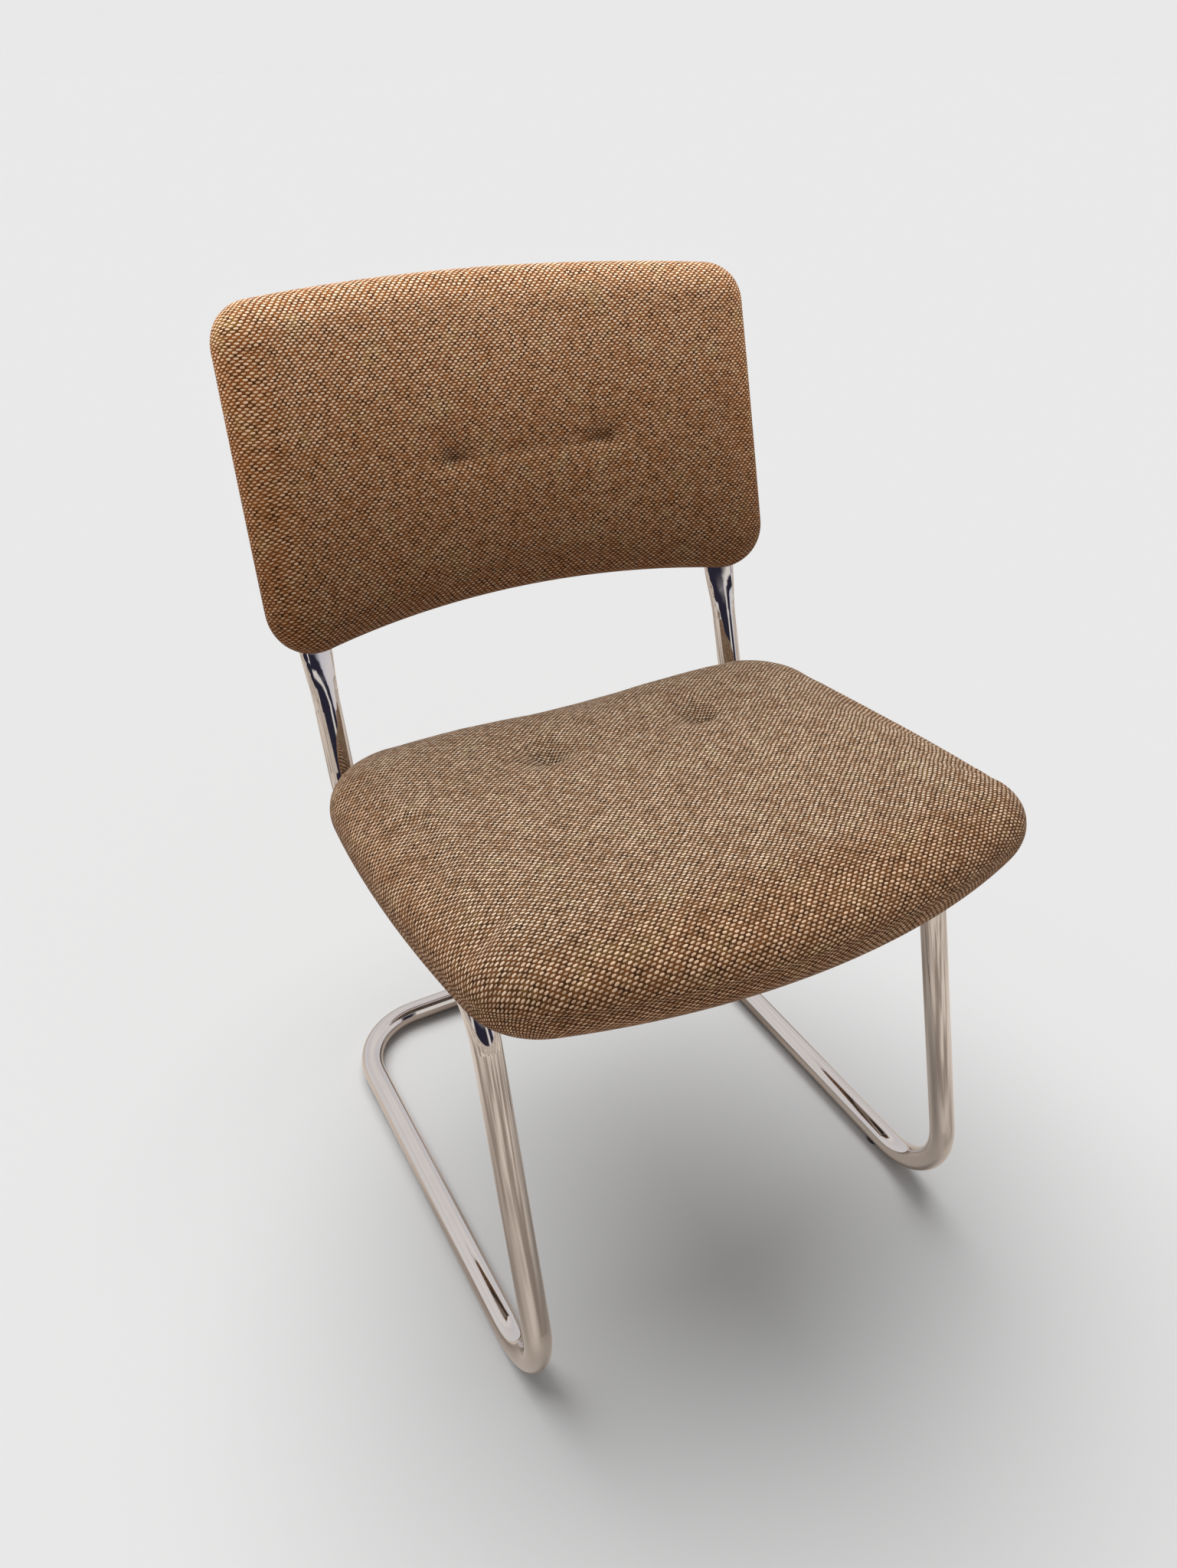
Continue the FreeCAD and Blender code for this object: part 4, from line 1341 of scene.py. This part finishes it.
@dataclass
class BackPad(Pad):
    """The back: a slim pad bent about an upright axis in front, sewn together round its rear edge."""

    name: str = "back_cushion"
    finish: Finish = BACK_TWEED
    tufts: tuple[Tuft, Tuft] = tuft_pair(-0.060, 0.086, 0.006, 0.0073, 0.020, 0.007, 0.019)
    crease: Crease = Crease(0.0026, 0.007, 0.020, 1.4)
    stuffing: Stuffing = Stuffing(cap=0.004)
    centre: Place = (0.0, 0.223105, 0.609)
    lean: float = math.radians(15.8)
    bend_radius: float = 0.744
    half_width: float = 0.2434
    half_height: float = 0.13885
    half_taper: float = 0.00142
    top_bow: float = 0.0177
    bottom_arch: float = 0.0253
    side_bow: float = 0.0005
    top_corner: float = 0.0364
    bottom_corner: float = 0.0396
    edge_roll: float = 0.028
    front_depth: float = 0.0275
    front_crown: float = 0.009
    rear_depth: float = 0.0205
    rear_crown: float = 0.003
    crown_into_roll: float = 0.3
    seam_level: float = 0.0105
    seam_depth: float = 0.0016
    seam_width: float = 0.0011
    seam_rings: tuple[int, ...] = (3, 4, 5, 6, 7)
    seam_spread: tuple[float, ...] = (-0.0036, -0.0016, 0.0, 0.0016, 0.0036)
    seam_box: Span = (0.19, 0.11)
    seam_fade: int = 8
    rear_cloth: Span = (0.7, 0.0)
    slack: float = 0.005
    free_from: float = 0.45
    free_over: float = 0.4
    held_below: float = 0.9
    cap_rings: int = 38
    roll_rings: int = 10

    def outline(self) -> Outline:
        """The pad's outline at its widest level."""
        low = self.half_width + self.half_taper
        high = self.half_width - self.half_taper
        h = self.half_height
        bows = (-self.bottom_arch, self.side_bow, self.top_bow, self.side_bow)
        radii = (self.bottom_corner, self.bottom_corner, self.top_corner, self.top_corner)
        return Outline(((-low, -h), (low, -h), (high, h), (-high, h)), bows, radii)

    def crowned(self, points: Points, crown: float) -> Points:
        """How much the middle of a face swells at each point."""
        across = np.clip(1 - (points[:, 0] / self.half_width) ** 2, 0, 1)
        half_height = self.half_height - self.edge_roll * self.crown_into_roll
        along = np.clip(1 - (points[:, 1] / half_height) ** 2, 0, 1)
        return crown * across * along

    def sheet(self) -> Sheet:
        """The cover before its tufts are pulled, on its flat frame."""
        sheet = Sheet()
        count = self.cap_rings + self.roll_rings
        front = Profile(self.edge_roll, self.front_depth - self.slack, 1.0)
        rear = Profile(self.edge_roll, self.rear_depth, 1.0)
        front_excess = front.at(0.0)[2]
        arc, _, level = rear.curve()
        seam = float(np.interp(self.seam_level, level, arc))
        marks = np.interp(
            np.arange(self.roll_rings + 1),
            [0, *self.seam_rings, self.roll_rings],
            [0, *(seam + off for off in self.seam_spread), rear.total()],
        )
        first_front = count - self.seam_rings[2]

        def front_ring(step: int) -> tuple[Points, Points]:
            """One ring of the front, from its middle to the widest level."""
            outwards = max(step - self.cap_rings, 0) / self.roll_rings
            inset, height, excess = front.at(front.total() * (1 - outwards))
            if step == 0:
                return np.array([[0.0, 0.0, height + self.front_crown]]), np.zeros((1, 2, 2))
            ring, normals = self.ring(step, inset)
            swell = self.crowned(ring, self.front_crown)
            cloth = ring + normals * excess
            return np.column_stack([ring, height + swell]), np.stack([cloth, cloth], 1)

        def rear_ring(step: int) -> tuple[Points, Points]:
            """One ring of the rear, from its middle to the widest level."""
            place = count - step
            length = marks[place] if place <= self.roll_rings else rear.total()
            inset, height, excess = rear.at(length)
            if step == 0:
                middle = np.array([self.rear_cloth])
                return np.array([[0.0, 0.0, -height - self.rear_crown]]), np.stack([middle, middle], 1)
            ring, normals = self.ring(step, inset)
            swell = self.crowned(ring, self.rear_crown)
            lapped = ring + normals * (front_excess + (rear.at(0.0)[2] - excess) + 2 * inset)
            own = (ring + normals * excess) * (-1, 1) + self.rear_cloth
            return np.column_stack([ring, -height - swell]), np.stack([lapped, own], 1)

        rim = sheet.disc(count, front_ring, lambda inside: 0, True)
        for vertex, cloth in zip(rim, rear_ring(count)[1]):
            sheet.cloth[vertex] = np.stack([sheet.cloth[vertex][0], cloth[1]])
        sheet.disc(count, rear_ring, lambda inside: 0 if inside >= first_front else 1, False, rim)
        return sheet

    def held(self, points: Points) -> Points:
        """Which vertices the board behind the rear panel holds."""
        return points[:, 2] < -self.held_below * self.rear_depth

    def free(self, points: Points) -> Points:
        """How freely each vertex swells, from 0 at the taut rim to 1 on the faces."""
        depth = np.where(points[:, 2] > 0, self.front_depth, self.rear_depth)
        return np.clip((np.abs(points[:, 2]) / depth - self.free_from) / self.free_over, 0.0, 1.0)

    def details(self, points: Points) -> Points:
        """Adds the seam round the rear edge."""
        moved = points.copy()
        flat = points[:, :2]
        seam = np.exp(-((points[:, 2] + self.seam_level) / self.seam_width) ** 2)
        outwards = flat / np.maximum(np.linalg.norm(flat, axis=1, keepdims=True), 1e-6)
        across, along = (np.clip(np.abs(flat) / self.seam_box, 0, 1) ** self.seam_fade).T
        edge = np.clip(across + along, 0, 1)
        moved[:, :2] -= outwards * (self.seam_depth * seam * edge)[:, None]
        return moved

    def placed(self, points: Points) -> Points:
        """Moves points from the flat frame to the row frame, bending the pad on the way."""
        turn = points[:, 0] / self.bend_radius
        radius = self.bend_radius - points[:, 2]
        depth = radius * np.cos(turn) - self.bend_radius
        bent = np.column_stack([radius * np.sin(turn), depth, points[:, 1]])
        matrix = np.array(Matrix.Translation(self.centre) @ Matrix.Rotation(-self.lean, 4, "X"))
        return bent @ matrix[:3, :3].T + matrix[:3, 3]


# Sub-assemblies


@dataclass
class TubeFrame:
    """The bent and chromed tube with its crossbars and floor glides."""

    tube: str = "frame_tube"
    crossbars: tuple[str, ...] = ("front_crossbar", "rear_crossbar")
    glides: tuple[str, ...] = ("glide_front_left", "glide_front_right", "glide_rear_left", "glide_rear_right")

    def build(self) -> None:
        """Dresses the frame's nodes."""
        dress(CHROME, self.tube, *self.crossbars)
        dress(NYLON, *self.glides)


@dataclass
class Seat:
    """The seat's cushion and what holds it together underneath."""

    metal: tuple[str, ...] = ("seat_staples", "seat_t_nuts", "seat_bolts", "seat_bolt_washers")

    def build(self) -> None:
        """Makes the cushion and dresses the rest."""
        cushion = SeatPad().build()
        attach(cushion, "root")
        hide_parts("seat_cover", "seat_foam")
        dress(PLYWOOD, "seat_board")
        dress(FELT, "seat_dust_cover")
        dress(TWINE, "seat_tuft_ties")
        dress(FIBRE, "seat_tuft_anchors")
        dress(ZINC, *self.metal)
        log.info("made %s of %d faces", cushion.name, len(cushion.data.polygons))


@dataclass
class Back:
    """The back's cushion and what holds it together inside."""

    metal: tuple[str, ...] = ("back_t_nuts", "back_screws")

    def build(self) -> None:
        """Makes the cushion and dresses the rest."""
        cushion = BackPad().build()
        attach(cushion, "root")
        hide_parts("back_cover_front", "back_cover_rear", "back_front_foam", "back_rear_foam")
        dress(PLYWOOD, "back_board")
        dress(TWINE, "back_tuft_ties")
        dress(FIBRE, "back_tuft_anchors")
        dress(ZINC, *self.metal)
        log.info("made %s of %d faces", cushion.name, len(cushion.data.polygons))


# Studio and camera


@dataclass
class Studio:
    """Pale floor, pale surroundings and one soft lamp high behind the chair."""

    pale: float = 0.812
    floor_albedo: float = 0.648
    floor_bounce: Colour = (0.49, 0.42, 0.37)
    floor_dark: Colour = (0.33, 0.28, 0.245)
    floor_light: Colour = (0.76, 0.69, 0.63)
    floor_scale: float = 2.2
    floor_patch: Span = (0.36, 0.60)
    floor_half_size: float = 60.0
    sky: float = 0.19
    sky_behind: float = 0.58
    sky_in_front: float = 0.23
    room_by_height: Stops = (
        (0.0, (0.16, 0.14, 0.13)),
        (0.15, (0.34, 0.31, 0.30)),
        (0.40, (0.72, 0.70, 0.77)),
        (0.70, (1.0, 0.99, 1.0)),
        (1.0, (0.80, 0.80, 0.88)),
    )
    room_round: Stops = (
        (0.0, (0.85, 0.86, 0.92)),
        (0.50, (0.95, 0.96, 1.0)),
        (0.62, (0.80, 0.82, 0.95)),
        (0.66, (0.03, 0.03, 0.055)),
        (0.80, (0.03, 0.03, 0.055)),
        (0.84, (1.0, 1.0, 1.0)),
        (0.88, (1.0, 1.0, 1.0)),
        (0.92, (0.03, 0.03, 0.055)),
        (1.0, (0.03, 0.03, 0.055)),
    )
    room_end: Place = (-0.515, -0.857, 0.0)
    ceiling: Span = (0.35, 0.75)
    lamp_strength: float = 3.0
    lamp_spread: float = 60.0
    lamp_direction: Place = (0.0, 0.36, 1.0)

    def build(self) -> None:
        """Makes the floor, the world and the lamp."""
        self.floor()
        self.world()
        self.lamp()

    def floor(self) -> None:
        """Makes the floor, a fine square sheet that takes the chair's shadow."""
        size = self.floor_half_size
        corners = [(-size, -size, 0.0), (size, -size, 0.0), (size, size, 0.0), (-size, size, 0.0)]
        mesh = bpy.data.meshes.new("floor")
        mesh.from_pydata(corners, [], [(0, 1, 2, 3)])
        floor = bpy.data.objects.new("floor", mesh)
        bpy.context.scene.collection.objects.link(floor)
        shader, material = Shader.for_material("pale_floor")
        patches = shader.noise(shader.object_place(), self.floor_scale)
        mirrored = shader.mix(self.floor_dark, self.floor_light, shader.between(patches, *self.floor_patch))
        bounce = shader.mix(self.floor_bounce, mirrored, shader.seen_by("Is Glossy Ray"))
        colour = shader.mix(bounce, (self.floor_albedo,) * 3, shader.seen_by("Is Camera Ray"))
        shader.surface({"Base Color": colour, "Roughness": 1.0, "Specular IOR Level": 0.0})
        mesh.materials.append(material)

    def world(self) -> None:
        """Lights the object softly from all round, while the camera sees the pale background."""
        world = bpy.data.worlds.new("studio")
        world.use_nodes = True
        bpy.context.scene.world = world
        shader = Shader(world.node_tree)
        sideways, rearwards, rise = shader.parts(shader.node("ShaderNodeTexCoord", output="Generated"))
        towards = sideways * self.room_end[0] + rearwards * self.room_end[1]
        level = (1 - rise ** 2.0).at_least(0.01).root()
        walls = shader.ramp(towards / level * 0.5 + 0.5, self.room_round)
        high = shader.between(abs(rise), *self.ceiling)
        room = shader.mix(walls, shader.ramp(rise, self.room_by_height), high)
        behind = rearwards.at_least(0.0) * self.sky_behind
        in_front = (0.0 - rearwards).at_least(0.0) * self.sky_in_front
        sky = shader.grey(self.sky + behind + in_front)
        seen = shader.mix(sky, room, shader.seen_by("Is Glossy Ray"))
        colour = shader.mix(seen, (self.pale,) * 3, shader.seen_by("Is Camera Ray"))
        background = shader.node("ShaderNodeBackground", {}, {"Color": colour, "Strength": 1.0})
        shader.node("ShaderNodeOutputWorld", {}, {"Surface": background})

    def lamp(self) -> None:
        """Makes the soft lamp."""
        light = bpy.data.lights.new("lamp", "SUN")
        light.energy = self.lamp_strength
        light.angle = math.radians(self.lamp_spread)
        lamp = bpy.data.objects.new("lamp", light)
        lamp.rotation_mode = "QUATERNION"
        lamp.rotation_quaternion = Vector(self.lamp_direction).to_track_quat("Z", "Y")
        lamp.visible_glossy = False
        bpy.context.scene.collection.objects.link(lamp)


@dataclass
class PhotoCamera:
    """The camera that took the photograph, found from the chair's edges in it."""

    place: Place = (-0.42156, -0.70180, 0.91346)
    azimuth: float = math.radians(-28.8418)
    elevation: float = math.radians(32.5640)
    roll: float = math.radians(0.41477)
    focal_pixels: float = 1497.9
    picture_height: float = 2048.0
    sensor_height: float = 24.0
    clip: Span = (0.05, 300.0)

    def build(self) -> None:
        """Makes the scene's camera."""
        data = bpy.data.cameras.new("camera")
        data.sensor_fit = "AUTO"
        data.sensor_width = self.sensor_height
        data.lens = self.focal_pixels / self.picture_height * self.sensor_height
        data.clip_start, data.clip_end = self.clip
        back = Vector(
            (
                math.sin(self.azimuth) * math.cos(self.elevation),
                -math.cos(self.azimuth) * math.cos(self.elevation),
                math.sin(self.elevation),
            )
        )
        level = Vector((0.0, 0.0, 1.0)).cross(back).normalized()
        upward = back.cross(level)
        right = level * math.cos(self.roll) + upward * math.sin(self.roll)
        above = upward * math.cos(self.roll) - level * math.sin(self.roll)
        camera = bpy.data.objects.new("camera", data)
        turn = Matrix((right, above, back)).transposed().to_4x4()
        camera.matrix_world = Matrix.Translation(self.place) @ turn
        bpy.context.scene.collection.objects.link(camera)
        bpy.context.scene.camera = camera


def main() -> None:
    """Builds the chair's sub-assemblies in order, then the studio and the camera."""
    logging.basicConfig(level=logging.INFO, format="%(message)s")
    bpy.context.scene.view_settings.view_transform = "Standard"
    for part in (TubeFrame(), Seat(), Back(), Studio(), PhotoCamera()):
        part.build()
        log.info("built %s", type(part).__name__)


if __name__ == "__main__":
    main()
